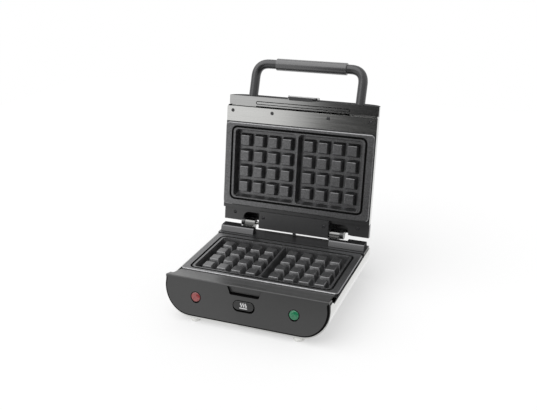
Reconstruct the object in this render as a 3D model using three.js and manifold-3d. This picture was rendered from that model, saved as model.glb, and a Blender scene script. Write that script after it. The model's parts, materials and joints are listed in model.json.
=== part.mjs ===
// Sandwich and waffle maker with its lid open, in millimetres.
// X runs across the appliance, -Y is its front and +Z is up. Heights are measured from the table
// under the feet, and depths from the middle of the waffle moulds, until the last lines move the
// origin to the middle of the bounding box at the table.
// The lid and everything on it is drawn closed, in a group that turns about the hinge axis.

import * as THREE from 'three';
import { mergeVertices } from 'three/addons/utils/BufferGeometryUtils.js';
import Module from 'manifold-3d';

const wasm = await Module();
wasm.setup();

// Clearances and cutting values shared by every piece
const seatGap = 0.3; // between two pieces that touch
const runGap = 0.6; // round a piece that travels
const cutOver = 1.5; // how far a cutter runs past the face it opens
const weldTolerance = 0.001;

// Waffle moulds: rows of tapered blocks that print the pockets of the waffle
const blocksAcross = 4;
const blocksDeep = 4;
const blockPitchX = 24;
const blockPitchY = 25.6;
const blockTopX = 14.2;
const blockTopY = 15.8;
const blockDraft = 2.8;
const blockHeight = 11;
const blockDrop = 1.5; // block tops lie this far below the rim
const blockEdge = 1.3;
const dividerWidth = 2.8;
const mouldCorner = 6;

// Removable plates
const rimMarginX = 17.3; // from a mould's outer edge to the plate's side
const rimMarginY = 12.4;
const plateShift = 2; // the plate reaches further back than its moulds
const plateCorner = 6;
const flangeThickness = 4.5;
const flangeEdge = 1.2;
const tubWall = 2.6;
const ledgeX = 3.3;
const ledgeY = 2;
const grooveWidth = 3.5;
const grooveDepth = 2;
const grooveCorner = 10;

// Base body
const footHeight = 7;
const footRadius = 8;
const footSideMargin = 46; // from the shell's side to a foot's middle
const footFrontMargin = 11.5;
const footRearMargin = 14;
const rimHeight = 59.5; // rim of the lower plate above the table
const shellMargin = 2.5; // from the plate's side to the shell's side
const sheetThickness = 1.2;
const shellCornerShare = 0.86; // of the height between the shell's bottom and its top edge
const shellReveal = 0.8; // dark line between fascia and shell
const shellSetback = 4; // the fascia stands this far in front of the shell's rim
const shellTopDrop = 2.5; // shell edge below the plate rim
const shellEarRise = 3.5;
const shellEarLength = 20.5;
const shellEarSlope = 7;
const faceInset = 2; // from the shell's side to the fascia's
const faceLift = 6.5; // from the shell's bottom to the fascia's
const faceReach = 52; // from the plate's front edge to the foot of the fascia
const faceCornerInset = 3; // by how much the fascia's corners are tighter than the shell's
const faceTilt = THREE.MathUtils.degToRad(9);
const faceWall = 3;
const mouldingWall = 2.5;
const creaseRadius = 1.5;
const shelfRise = 9; // from the plate's rim to the crease
const shelfStrip = 12.5; // gently sloping strip behind the crease
const shelfFall = 3.2;
const shelfDropDepth = 5;
const shelfDrop = 4.7;
const shelfInset = 4;
const skirtDepth = 12;
const frameThickness = 2;
const tubClearance = 1;
const deckRise = 0.9; // rear deck above the plate's rim
const rearWallMargin = 2; // from the hinge axis to the rear wall

// Things on the fascia
const lampInset = 49.2;
const lampDrop = 27; // from the crease down to the lamps
const lampRadius = 7.2;
const lampDome = 1;
const lampBody = 9;
const lampShoulderShare = 0.7;
const pocketTopHalf = 26.7;
const pocketBottomHalf = 23.3;
const pocketDrop = 13.7; // from the crease down to the pocket's floor
const pocketDepth = 3.2;
const pocketLip = 1.2;
const pocketCorner = 4;
const pocketSlit = 1.7; // height of the slit at the pocket's floor
const pocketSlitDepth = 4;
const buttonDrop = 27.3;
const buttonHalfX = 15.6;
const buttonHalfZ = 6.5;
const buttonProud = 1.2;
const buttonCap = 8;
const buttonWellMargin = 1.4;
const buttonWellDepth = 1.3;
const stemHalf = 1.5;

// Plate catch that the button works
const catchMargin = 9.5; // from the plate's front edge to the catch's pin
const catchDrop = 15.5;
const catchPinRadius = 1.5;
const catchPinHalf = 14.5;
const catchHalf = 8;
const catchHub = 3.6;
const catchArm = 2.4;
const catchNoseDrop = 8.4;
const lugHalf = 9;
const lugDepth = 3;
const lugDrop = 7;
const cheekThickness = 2.5;

// Hinge
const hingeMargin = 29.5; // from the plate's rear edge to the axis
const hingeRise = 13.5;
const openAngle = THREE.MathUtils.degToRad(100);
const barrelRadius = 6;
const barrelLength = 17.6;
const barrelOffsetLeft = 8.6; // from the side of the lid's rear box to the barrel
const barrelOffsetRight = 0.6;
const pinRadius = 2.6;
const leafLength = 8.8;
const leafThickness = 2.3;
const blockGap = 5; // from the side of the rear box to a hinge block
const blockInset = 2;
const blockFrontMargin = 5.9;
const blockRearMargin = 3;
const blockTopDrop = 2.8; // from the hinge axis down to the block's top
const blockSlope = 3;
const blockBevel = 1.4;
const blockReliefDepth = 11.3;

// Lid body, drawn closed
const rimGap = 1;
const lidRise = 46.5; // from the lower plate's rim to the lid's top
const lidCorner = 30;
const trimMargin = 9.2; // from the foot of the fascia to the lid's front
const trimDepth = 14.8;
const trimGap = 4; // from the crease up to the lid's front moulding
const slotInset = 47.6;
const slotWidth = 3.2;
const slotMargin = 9.8;
const slotGroove = 1.2;
const stripGap = 2.2;
const stripUpturn = 5;
const innerFrameOverhang = 0.5;
const rearPanelMargin = 6.7; // from the plate's rear edge to the rear panel
const rearSideMargin = 1.5;
const rearSideDrop = 2;
const rearBoxInset = 65; // from the lid's side to the box between the hinges
const rearBoxMargin = 6;
const rearBoxRise = 3.5;
const archInset = 34;
const archReach = 17.4;
const archRise = 13.5;
const archCorner = 10;
const earRadius = 6.5;
const earThickness = 5.7;
const stopHalf = 2.5;
const stopHeight = 4;

// Screws that hold the inner frame and the rear panel
const screwHead = 2.6;
const screwHeadThickness = 1.4;
const screwShank = 1.5;
const screwLength = 9;
const stripScrewOuterInset = 9.5;
const stripScrewInnerInset = 78;
const stripScrewMargin = 7;
const rearScrewOuterInset = 18.8;
const rearScrewOuterMargin = 8;
const rearScrewInnerInset = 7.8;
const rearScrewInnerMargin = 10;

// Handle
const tubeRadius = 7.5;
const legInset = 34.7;
const legDepth = 11.3; // how far a leg reaches into the lid's front
const legRise = 14.7;
const handleTilt = THREE.MathUtils.degToRad(12);
const handleReach = 64.8; // from the root to the cross bar, along the tilted plane
const bendRadius = 26;
const gripRadius = 9.8;
const gripMargin = 31.3;
const gripShift = 3.5; // the sleeve sits a little to the right
const gripEdge = 1;

// Latch on the lid's front
const latchHalf = 21;
const latchShoulder = 22.5;
const latchPinReach = 3.1;
const latchPinRise = 7.5;
const latchPinRadius = 1;
const latchHub = 2;
const latchTopRise = 3.5;
const latchOverlap = 4.4; // how far the closed latch hangs below the crease
const latchWall = 2;
const latchEarThickness = 3;
const latchEarRadius = 2.2;

// Heating
const heaterRadius = 3.2;
const heaterInsetX = 21.8;
const heaterInsetY = 16.7;
const heaterCorner = 14;
const heaterTail = 17;
const trayWall = 1;
const trayClearance = 1.2;
const trayDepth = 22;
const trayFlange = 2.7;
const thermostatRadius = 9;
const thermostatHeight = 7;
const thermostatX = 30;
const terminalHalfX = 18;
const terminalDepth = 12;
const terminalHeight = 14;
const terminalRise = 4;
const terminalX = 20;
const terminalBore = 2;
const terminalShares = [-0.6, 0, 0.6];
const glandX = -60;
const glandZ = 34;
const glandRadius = 7;
const glandFlange = 10;
const glandBore = 3.6;
const glandReach = 10;
const glandFlangeThickness = 3;

// Roundness of curved pieces
const cornerSteps = 5;
const outlineSteps = 10;
const barrelSides = 24;
const tubeSides = 14;
const smallSides = 12;
const elementSides = 8;
const handleSteps = 52;
const heaterSteps = 60;

// Sizes that follow from the ones above: moulds and plates
const channelX = blockPitchX - blockTopX - 2 * blockDraft;
const channelY = blockPitchY - blockTopY - 2 * blockDraft;
const mouldHalfX = ((blocksAcross - 1) * blockPitchX + blockTopX) / 2 + 2 * blockDraft + channelX;
const mouldHalfY = ((blocksDeep - 1) * blockPitchY + blockTopY) / 2 + 2 * blockDraft + channelY;
const mouldCentreX = mouldHalfX + dividerWidth / 2;
const mouldOuterX = mouldCentreX + mouldHalfX;
const plateWidth = 2 * (mouldOuterX + rimMarginX);
const plateDepth = 2 * (mouldHalfY + rimMarginY);
const plateFrontY = plateShift - plateDepth / 2;
const plateRearY = plateShift + plateDepth / 2;
const tubHalfX = mouldOuterX + tubWall;
const tubHalfY = mouldHalfY + tubWall;
const tubDepth = blockDrop + blockHeight + tubWall;

// The base round them
const shellHalfWidth = plateWidth / 2 + shellMargin;
const shellInnerHalf = shellHalfWidth - sheetThickness;
const shellBottomZ = footHeight;
const shellEarTop = rimHeight + shellEarRise;
const shellCorner = (rimHeight - shellTopDrop - shellBottomZ) * shellCornerShare;
const faceHalfWidth = shellHalfWidth - faceInset;
const faceBottomZ = shellBottomZ + faceLift;
const faceTopZ = rimHeight + shelfRise;
const faceCorner = shellCorner - faceCornerInset;
const faceBottomY = plateFrontY - faceReach;
const shelfHalfWidth = faceHalfWidth - shelfInset;
const shellEarBack = faceBottomY + shellEarLength;
const frameTopZ = rimHeight - flangeThickness - seatGap;
const frameBottomZ = frameTopZ - frameThickness;
const frameFrontY = plateFrontY - seatGap * 6;
const rearFrontY = plateRearY + seatGap * 3;
const hingeY = plateRearY + hingeMargin;
const hingeZ = rimHeight + hingeRise;
const rearWallY = hingeY + rearWallMargin;
const deckTopZ = rimHeight + deckRise;
const footX = shellHalfWidth - footSideMargin;
const footFrontY = faceBottomY + footFrontMargin;
const footRearY = rearWallY - footRearMargin;
const lampX = faceHalfWidth - lampInset;
const lampZ = faceTopZ - lampDrop;
const pocketBottomZ = faceTopZ - pocketDrop;
const buttonZ = faceTopZ - buttonDrop;
const catchPinY = plateFrontY - catchMargin;
const catchPinZ = rimHeight - catchDrop;
const catchNoseZ = rimHeight - catchNoseDrop;

// The hinge
const rearBoxHalf = faceHalfWidth - rearBoxInset;
const blockInnerX = rearBoxHalf + blockGap;
const blockOuterX = faceHalfWidth - blockInset;
const blockFrontY = plateRearY + blockFrontMargin;
const blockRearY = hingeY - blockRearMargin;
const blockTopZ = hingeZ - blockTopDrop;
const blockReliefY = hingeY - blockReliefDepth;
const archOuterX = faceHalfWidth - archInset;
const archFrontY = hingeY - archReach;
const archTopZ = hingeZ + archRise;
const barrelInnerX = (side) => rearBoxHalf + (side < 0 ? barrelOffsetLeft : barrelOffsetRight);
const barrelOuterX = (side) => barrelInnerX(side) + barrelLength;
const earInnerX = (side) => barrelOuterX(side) + runGap;
const earOuterX = (side) => earInnerX(side) + earThickness;
const blockReliefX = earOuterX(-1) + runGap * 1.5;

// The lid
const lidRimZ = rimHeight + rimGap;
const lidTopZ = rimHeight + lidRise;
const innerFrameZ = lidRimZ + flangeThickness + seatGap;
const innerFrameTopZ = innerFrameZ + sheetThickness;
const innerFrameHalf = faceHalfWidth + innerFrameOverhang;
const trimFrontY = faceBottomY + trimMargin;
const trimRearY = trimFrontY + trimDepth;
const trimBottomZ = faceTopZ + trimGap;
const slotHalf = faceHalfWidth - slotInset;
const slotY = trimFrontY + slotMargin;
const stripFrontY = trimRearY + stripGap;
const rearPanelY = plateRearY + rearPanelMargin;
const rearSideY = hingeY - rearSideMargin;
const rearSideZ = hingeZ - rearSideDrop;
const rearBoxY = hingeY + rearBoxMargin;
const rearBoxZ = rimHeight + rearBoxRise;
const coverBottomZ = innerFrameTopZ + seatGap;
const coverFrontY = trimRearY + seatGap;
const coverRearY = rearPanelY - seatGap;
const legSpread = faceHalfWidth - legInset;
const legRootY = trimFrontY + legDepth;
const legRootZ = trimBottomZ + legRise;
const gripHalf = legSpread - gripMargin;
const latchPinY = trimFrontY - latchPinReach;
const latchPinZ = trimBottomZ + latchPinRise;
const latchTopZ = latchPinZ + latchTopRise;
const latchEndZ = faceTopZ - latchOverlap;

// Heating under and over the plates
const heaterHalfX = tubHalfX - heaterInsetX;
const heaterHalfY = tubHalfY - heaterInsetY;
const heaterZ = rimHeight - tubDepth - seatGap - heaterRadius;
const upperHeaterZ = lidRimZ + tubDepth + seatGap + heaterRadius;
const trayHalfX = tubHalfX + trayClearance;
const trayHalfY = tubHalfY + trayClearance;
const trayTopZ = frameBottomZ - seatGap;
const upperTrayZ = innerFrameTopZ + seatGap;

// Places on the tilted fascia
const faceSlope = Math.tan(faceTilt);
const faceY = (z) => faceBottomY + (z - faceBottomZ) * faceSlope;

// Helpers that turn shapes into closed solids

function solid(geometry) {
  const bare = geometry.clone();
  bare.deleteAttribute('normal');
  bare.deleteAttribute('uv');
  const merged = mergeVertices(bare, weldTolerance);
  return new wasm.Manifold(new wasm.Mesh({
    numProp: 3,
    vertProperties: Float32Array.from(merged.attributes.position.array),
    triVerts: Uint32Array.from(merged.index.array),
  }));
}

function geometryOf(manifold) {
  const mesh = manifold.getMesh();
  const geometry = new THREE.BufferGeometry();
  geometry.setAttribute('position', new THREE.BufferAttribute(Float32Array.from(mesh.vertProperties), 3));
  geometry.setIndex(new THREE.BufferAttribute(Uint32Array.from(mesh.triVerts), 1));
  geometry.computeVertexNormals();
  return geometry;
}

function box(x0, x1, y0, y1, z0, z1) {
  const geometry = new THREE.BoxGeometry(x1 - x0, y1 - y0, z1 - z0);
  return solid(geometry.translate((x0 + x1) / 2, (y0 + y1) / 2, (z0 + z1) / 2));
}

// A shape drawn in X and Z, pushed along Y
function prismY(shape, y0, y1, steps = cornerSteps) {
  const geometry = new THREE.ExtrudeGeometry(shape, { depth: y1 - y0, bevelEnabled: false, curveSegments: steps });
  return solid(geometry.rotateX(Math.PI / 2).translate(0, y1, 0));
}

// A shape drawn in Y and Z, pushed along X
function prismX(shape, x0, x1, steps = cornerSteps) {
  const geometry = new THREE.ExtrudeGeometry(shape, { depth: x1 - x0, bevelEnabled: false, curveSegments: steps });
  const turn = new THREE.Matrix4().makeBasis(
    new THREE.Vector3(0, 1, 0), new THREE.Vector3(0, 0, 1), new THREE.Vector3(1, 0, 0),
  );
  return solid(geometry.applyMatrix4(turn).translate(x0, 0, 0));
}

function prismZ(shape, z0, z1, steps = cornerSteps) {
  const geometry = new THREE.ExtrudeGeometry(shape, { depth: z1 - z0, bevelEnabled: false, curveSegments: steps });
  return solid(geometry.translate(0, 0, z0));
}

function cylinderX(y, z, radius, x0, x1, sides = smallSides) {
  const geometry = new THREE.CylinderGeometry(radius, radius, x1 - x0, sides);
  return solid(geometry.rotateZ(Math.PI / 2).translate((x0 + x1) / 2, y, z));
}

function cylinderY(x, z, radius, y0, y1, sides = smallSides) {
  const geometry = new THREE.CylinderGeometry(radius, radius, y1 - y0, sides);
  return solid(geometry.translate(x, (y0 + y1) / 2, z));
}

function cylinderZ(x, y, radius, z0, z1, sides = smallSides) {
  const geometry = new THREE.CylinderGeometry(radius, radius, z1 - z0, sides);
  return solid(geometry.rotateX(Math.PI / 2).translate(x, y, (z0 + z1) / 2));
}

function polygon(points) {
  return new THREE.Shape(points.map(([a, b]) => new THREE.Vector2(a, b)));
}

function roundedRectangle(x0, x1, y0, y1, radius) {
  const shape = new THREE.Shape();
  shape.moveTo(x0 + radius, y0);
  shape.lineTo(x1 - radius, y0);
  shape.absarc(x1 - radius, y0 + radius, radius, -Math.PI / 2, 0, false);
  shape.lineTo(x1, y1 - radius);
  shape.absarc(x1 - radius, y1 - radius, radius, 0, Math.PI / 2, false);
  shape.lineTo(x0 + radius, y1);
  shape.absarc(x0 + radius, y1 - radius, radius, Math.PI / 2, Math.PI, false);
  shape.lineTo(x0, y0 + radius);
  shape.absarc(x0 + radius, y0 + radius, radius, Math.PI, 1.5 * Math.PI, false);
  return shape;
}

// Outline of the base: flat top, large rounded lower corners
function baseOutline(half, bottom, top, radius) {
  const shape = new THREE.Shape();
  shape.moveTo(-half, top);
  shape.lineTo(-half, bottom + radius);
  shape.absarc(radius - half, bottom + radius, radius, Math.PI, 1.5 * Math.PI, false);
  shape.lineTo(half - radius, bottom);
  shape.absarc(half - radius, bottom + radius, radius, 1.5 * Math.PI, 2 * Math.PI, false);
  shape.lineTo(half, top);
  shape.closePath();
  return shape;
}

// Outline of the lid: the same form upside down
function lidOutline(half, bottom, top, radius) {
  const shape = new THREE.Shape();
  shape.moveTo(-half, bottom);
  shape.lineTo(half, bottom);
  shape.lineTo(half, top - radius);
  shape.absarc(half - radius, top - radius, radius, 0, Math.PI / 2, false);
  shape.lineTo(radius - half, top);
  shape.absarc(radius - half, top - radius, radius, Math.PI / 2, Math.PI, false);
  shape.closePath();
  return shape;
}

// A closed loft between two rectangles with rounded corners that lie at two heights
function loftedRectangle(low, high, steps) {
  const rings = [low, high].map(({ halfX, halfY, radius, z }) => {
    const ring = [];
    [[1, 1], [-1, 1], [-1, -1], [1, -1]].forEach(([sx, sy], corner) => {
      for (let step = 0; step <= steps; step += 1) {
        const angle = (corner + step / steps) * Math.PI / 2;
        ring.push(new THREE.Vector3(
          sx * (halfX - radius) + radius * Math.cos(angle),
          sy * (halfY - radius) + radius * Math.sin(angle),
          z,
        ));
      }
    });
    return ring;
  });
  const count = rings[0].length;
  const index = [];
  for (let i = 0; i < count; i += 1) {
    const next = (i + 1) % count;
    index.push(i, next, count + next, i, count + next, count + i);
  }
  for (let i = 1; i < count - 1; i += 1) {
    index.push(0, i + 1, i, count, count + i, count + i + 1);
  }
  const geometry = new THREE.BufferGeometry().setFromPoints(rings.flat());
  geometry.setIndex(index);
  return solid(geometry);
}

function unite(pieces) {
  return pieces.reduce((whole, piece) => whole.add(piece));
}

function mirrored(build) {
  return [-1, 1].map((side) => build(side));
}

// Span between two X values on the left (-1) or right (+1) half
function span(side, inner, outer) {
  return side > 0 ? [inner, outer] : [-outer, -inner];
}

// Materials
const finish = (color, roughness, metalness) => new THREE.MeshStandardMaterial({ color, roughness, metalness });
const fasciaPlastic = finish(0x4a4a4a, 0.5, 0);
const blackPlastic = finish(0x2b2b2b, 0.55, 0);
const brushedSteel = finish(0xc9c9c7, 0.35, 1);
const hingeSteel = finish(0xb4b4b2, 0.3, 1);
const hingePaint = finish(0x77787a, 0.45, 0.5);
const nonStick = finish(0x3f3f40, 0.5, 0.2);
const reflectorSteel = finish(0xa8a8a6, 0.4, 1);
const elementSteel = finish(0x5c5f5a, 0.5, 0.8);
const handlePaint = finish(0x424345, 0.45, 0.2);
const redLens = finish(0xa64444, 0.3, 0);
const greenLens = finish(0x1f8a5c, 0.3, 0);
const paleRubber = finish(0xe4e4e2, 0.7, 0);
const ceramic = finish(0xd8d4c8, 0.6, 0);
const screwSteel = finish(0x3a3a3c, 0.4, 0.9);

function part(name, manifold, material) {
  const mesh = new THREE.Mesh(geometryOf(manifold), material);
  mesh.name = name;
  return mesh;
}

// Plates: a flange with an overflow groove, a tub with two moulds, and the blocks in them.
// The rim lies at height 0 and the tub hangs below it.

function wafflePlate() {
  const flange = loftedRectangle(
    { halfX: plateWidth / 2, halfY: plateDepth / 2, radius: plateCorner, z: -flangeThickness },
    { halfX: plateWidth / 2, halfY: plateDepth / 2, radius: plateCorner, z: -flangeEdge }, cornerSteps,
  ).add(loftedRectangle(
    { halfX: plateWidth / 2, halfY: plateDepth / 2, radius: plateCorner, z: -flangeEdge },
    { halfX: plateWidth / 2 - flangeEdge, halfY: plateDepth / 2 - flangeEdge, radius: plateCorner - flangeEdge, z: 0 },
    cornerSteps,
  )).translate([0, plateShift, 0]);
  const tub = prismZ(roundedRectangle(-tubHalfX, tubHalfX, -tubHalfY, tubHalfY, mouldCorner), -tubDepth, -flangeEdge);
  const grooveOuterX = mouldOuterX + ledgeX + grooveWidth;
  const grooveOuterY = mouldHalfY + ledgeY + grooveWidth;
  const grooveOutline = roundedRectangle(-grooveOuterX, grooveOuterX, -grooveOuterY, grooveOuterY, grooveCorner);
  const grooveInnerX = grooveOuterX - grooveWidth;
  const grooveInnerY = grooveOuterY - grooveWidth;
  grooveOutline.holes.push(roundedRectangle(
    -grooveInnerX, grooveInnerX, -grooveInnerY, grooveInnerY, grooveCorner - grooveWidth,
  ));
  let plate = flange.add(tub).subtract(prismZ(grooveOutline, -grooveDepth, cutOver));
  const floorZ = -(blockDrop + blockHeight);
  const cavityTop = { halfX: mouldHalfX, halfY: mouldHalfY, radius: mouldCorner, z: 0 };
  const cavityFloor = {
    halfX: mouldHalfX - blockDraft, halfY: mouldHalfY - blockDraft, radius: mouldCorner - blockDraft, z: floorZ,
  };
  const rise = blockDraft * cutOver / -floorZ;
  const cavityOver = {
    halfX: mouldHalfX + rise, halfY: mouldHalfY + rise, radius: mouldCorner + rise, z: cutOver,
  };
  for (const side of [-1, 1]) {
    plate = plate.subtract(loftedRectangle(cavityFloor, cavityOver, cornerSteps).translate([side * mouldCentreX, 0, 0]));
  }
  const block = loftedRectangle(
    { halfX: blockTopX / 2 + blockDraft, halfY: blockTopY / 2 + blockDraft, radius: blockEdge, z: floorZ },
    { halfX: blockTopX / 2, halfY: blockTopY / 2, radius: blockEdge, z: -blockDrop }, 1,
  );
  const root = box(
    -blockTopX / 2, blockTopX / 2, -blockTopY / 2, blockTopY / 2, floorZ - tubWall / 2, floorZ + tubWall / 2,
  );
  for (const side of [-1, 1]) {
    for (let column = 0; column < blocksAcross; column += 1) {
      for (let row = 0; row < blocksDeep; row += 1) {
        const x = side * mouldCentreX + (column - (blocksAcross - 1) / 2) * blockPitchX;
        const y = (row - (blocksDeep - 1) / 2) * blockPitchY;
        plate = plate.add(block.add(root).translate([x, y, 0]));
      }
    }
  }
  return plate;
}

// The lower plate also has a lug under its front edge, where the catch holds it
function lowerPlate() {
  const lug = box(
    -lugHalf, lugHalf, plateFrontY + seatGap, plateFrontY + seatGap + lugDepth,
    -flangeThickness - lugDrop, -flangeThickness / 2,
  );
  return wafflePlate().add(lug);
}

// Base: a bent sheet shell, a moulded front, a plate frame and a rear housing

function baseShell() {
  const topZ = rimHeight - shellTopDrop;
  const wall = sheetThickness;
  const lineFront = (shift) => [
    [faceY(shellBottomZ) + shellSetback + shift, shellBottomZ - cutOver],
    [faceY(shellEarTop) + shellSetback + shift, shellEarTop + cutOver],
  ];
  const [lowFront, highFront] = lineFront(0);
  const profile = polygon([
    lowFront, [rearWallY - shellReveal, shellBottomZ - cutOver], [rearWallY - shellReveal, topZ],
    [shellEarBack + shellEarSlope, topZ], [shellEarBack, shellEarTop], [highFront[0], shellEarTop],
  ]);
  const [lowInner, highInner] = lineFront(wall);
  const behindFlange = polygon([
    lowInner, [rearWallY + cutOver, shellBottomZ - cutOver], [rearWallY + cutOver, highInner[1]], highInner,
  ]);
  const reach = shellHalfWidth + cutOver;
  const outer = baseOutline(shellHalfWidth, shellBottomZ, shellEarTop, shellCorner);
  const inner = baseOutline(shellInnerHalf, shellBottomZ + wall, shellEarTop + cutOver, shellCorner - wall);
  const opening = baseOutline(
    faceHalfWidth + shellReveal, faceBottomZ - shellReveal, shellEarTop + cutOver, faceCorner + shellReveal,
  );
  const hollow = prismY(inner, faceBottomY, rearWallY + cutOver, outlineSteps)
    .intersect(prismX(behindFlange, -reach, reach));
  return prismY(outer, faceBottomY, rearWallY, outlineSteps)
    .intersect(prismX(profile, -reach, reach))
    .subtract(hollow)
    .subtract(prismY(opening, faceBottomY - cutOver, faceBottomY + skirtDepth * 2, outlineSteps));
}

function shelfLine() {
  const creaseY = faceY(faceTopZ) + creaseRadius;
  const stripEnd = creaseY + shelfStrip;
  return {
    creaseY,
    stripEnd,
    dropEnd: stripEnd + shelfDropDepth,
    dropZ: faceTopZ - shelfDrop,
    backY: frameFrontY - seatGap,
    backZ: rimHeight - seatGap * 4,
  };
}

function frontFascia() {
  const { creaseY, stripEnd, dropEnd, dropZ, backY, backZ } = shelfLine();
  const skirtY = faceY(faceTopZ) + skirtDepth;
  const undersideZ = faceTopZ - shelfFall - mouldingWall;
  const foldZ = faceTopZ - creaseRadius - mouldingWall;
  const outer = new THREE.Shape();
  outer.moveTo(faceY(faceBottomZ - cutOver), faceBottomZ - cutOver);
  outer.lineTo(faceY(faceTopZ - creaseRadius), faceTopZ - creaseRadius);
  outer.quadraticCurveTo(faceY(faceTopZ), faceTopZ, creaseY, faceTopZ);
  outer.lineTo(stripEnd, faceTopZ - shelfFall);
  outer.lineTo(dropEnd, dropZ);
  outer.lineTo(backY, backZ);
  outer.lineTo(backY, backZ - mouldingWall);
  outer.lineTo(dropEnd, dropZ - mouldingWall);
  outer.lineTo(stripEnd, undersideZ);
  outer.lineTo(skirtY, undersideZ);
  outer.lineTo(skirtY, faceBottomZ - cutOver);
  outer.closePath();
  const outline = baseOutline(faceHalfWidth, faceBottomZ, faceTopZ + cutOver, faceCorner);
  const body = prismY(outline, faceBottomY - cutOver, backY + cutOver, outlineSteps)
    .intersect(prismX(outer, -faceHalfWidth - cutOver, faceHalfWidth + cutOver));
  const hollow = prismY(
    baseOutline(
      faceHalfWidth - mouldingWall, faceBottomZ + mouldingWall, faceTopZ - mouldingWall, faceCorner - mouldingWall,
    ), faceBottomY, skirtY + cutOver, outlineSteps,
  ).intersect(prismX(polygon([
    [faceY(faceBottomZ) + faceWall, faceBottomZ],
    [faceY(foldZ) + faceWall, foldZ],
    [skirtY + cutOver, undersideZ],
    [skirtY + cutOver, faceBottomZ],
  ]), -faceHalfWidth, faceHalfWidth));
  let fascia = body.subtract(hollow);

  // The shelf is narrower than the face, so that two ears stand up at its ends
  for (const side of [-1, 1]) {
    const [x0, x1] = span(side, shelfHalfWidth, faceHalfWidth + cutOver);
    fascia = fascia.subtract(box(x0, x1, stripEnd, backY + cutOver, faceBottomZ, faceTopZ + cutOver));
  }

  // Finger pocket under the crease, with its liner
  const pocketTopZ = faceTopZ - creaseRadius / 2 - pocketLip;
  const pocketY = faceY(pocketTopZ) + pocketDepth;
  const liner = box(
    -pocketTopHalf - mouldingWall, pocketTopHalf + mouldingWall, faceY(pocketTopZ) + faceWall / 2,
    pocketY + pocketSlitDepth + mouldingWall, pocketBottomZ - mouldingWall, faceTopZ - mouldingWall / 2,
  );
  const slitHalf = pocketBottomHalf - pocketCorner / 4;
  const slit = box(
    -slitHalf, slitHalf, pocketY - cutOver, pocketY + pocketSlitDepth, pocketBottomZ, pocketBottomZ + pocketSlit,
  );
  const opening = new THREE.Shape();
  opening.moveTo(-pocketTopHalf, pocketTopZ);
  opening.lineTo(-pocketBottomHalf, pocketBottomZ + pocketCorner);
  opening.quadraticCurveTo(-pocketBottomHalf, pocketBottomZ, pocketCorner - pocketBottomHalf, pocketBottomZ);
  opening.lineTo(pocketBottomHalf - pocketCorner, pocketBottomZ);
  opening.quadraticCurveTo(pocketBottomHalf, pocketBottomZ, pocketBottomHalf, pocketBottomZ + pocketCorner);
  opening.lineTo(pocketTopHalf, pocketTopZ);
  opening.closePath();
  fascia = fascia.add(liner).subtract(prismY(opening, faceBottomY - cutOver, pocketY)).subtract(slit);

  // Openings for the two lamps and the push button, square to the face
  const holes = mirrored((side) => cylinderY(
    side * lampX, 0, lampRadius + seatGap, -cutOver, lampBody, barrelSides,
  ).rotate([-THREE.MathUtils.radToDeg(faceTilt), 0, 0]).translate([0, faceY(lampZ), lampZ]));
  const slot = (margin, y0, y1) => prismY(roundedRectangle(
    -buttonHalfX - margin, buttonHalfX + margin, -buttonHalfZ - margin, buttonHalfZ + margin, buttonHalfZ + margin,
  ), y0, y1).rotate([-THREE.MathUtils.radToDeg(faceTilt), 0, 0]).translate([0, faceY(buttonZ), buttonZ]);
  holes.push(slot(runGap, -cutOver, buttonCap), slot(buttonWellMargin, -cutOver, buttonWellDepth));
  return holes.reduce((whole, hole) => whole.subtract(hole), fascia);
}

function lowerFrame() {
  const half = shellInnerHalf - seatGap;
  const outline = roundedRectangle(-half, half, frameFrontY, rearFrontY - seatGap, plateCorner / 2);
  const openX = tubHalfX + tubClearance;
  const openY = tubHalfY + tubClearance;
  outline.holes.push(roundedRectangle(-openX, openX, -openY, openY, mouldCorner));
  const notch = box(
    -lugHalf - runGap, lugHalf + runGap, frameFrontY - cutOver, plateFrontY + seatGap + lugDepth + runGap,
    frameBottomZ - cutOver, frameTopZ + cutOver,
  );
  let frame = prismZ(outline, frameBottomZ, frameTopZ).subtract(notch);

  // Two cheeks under the front edge carry the pin of the plate catch
  for (const side of [-1, 1]) {
    const inner = lugHalf + runGap * 2;
    const [x0, x1] = span(side, inner, inner + cheekThickness);
    const cheek = prismX(polygon([
      [frameFrontY, frameTopZ],
      [-tubHalfY - tubClearance - cheekThickness * 2, frameTopZ],
      [-tubHalfY - tubClearance - cheekThickness * 2, frameBottomZ],
      [catchPinY + catchHub, catchPinZ - catchHub],
      [catchPinY - catchHub, catchPinZ - catchHub],
      [catchPinY - catchHub, catchPinZ + catchHub],
    ]), x0, x1);
    frame = frame.add(cheek);
  }
  return frame.subtract(
    cylinderX(catchPinY, catchPinZ, catchPinRadius + seatGap, -catchPinHalf - cutOver, catchPinHalf + cutOver),
  );
}

function rearHousing() {
  const half = shellInnerHalf - seatGap;
  const bottom = shellBottomZ + sheetThickness + seatGap;
  const corner = half - (shellHalfWidth - shellCorner);
  const outer = prismY(baseOutline(half, bottom, deckTopZ, corner), rearFrontY, rearWallY, outlineSteps);
  const wall = mouldingWall;
  const inner = baseOutline(half - wall, bottom + wall, deckTopZ - wall, corner - wall);
  const room = prismY(inner, rearFrontY + wall, rearWallY - wall, outlineSteps);
  const mouth = prismY(inner, rearFrontY - cutOver, rearWallY - wall, outlineSteps)
    .intersect(box(-half, half, rearFrontY - cutOver * 2, rearWallY, bottom, frameBottomZ - wall));
  const gland = cylinderY(glandX, glandZ, glandRadius + seatGap, rearWallY - wall - cutOver, rearWallY + cutOver, barrelSides);
  return outer.subtract(room).subtract(mouth).subtract(gland);
}

function foot() {
  const profile = [
    [0, 0], [footRadius - seatGap * 3, 0], [footRadius, seatGap * 3],
    [footRadius, footHeight - seatGap], [0, footHeight - seatGap],
  ].map(([r, z]) => new THREE.Vector2(r, z));
  return solid(new THREE.LatheGeometry(profile, barrelSides).rotateX(Math.PI / 2));
}

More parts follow.
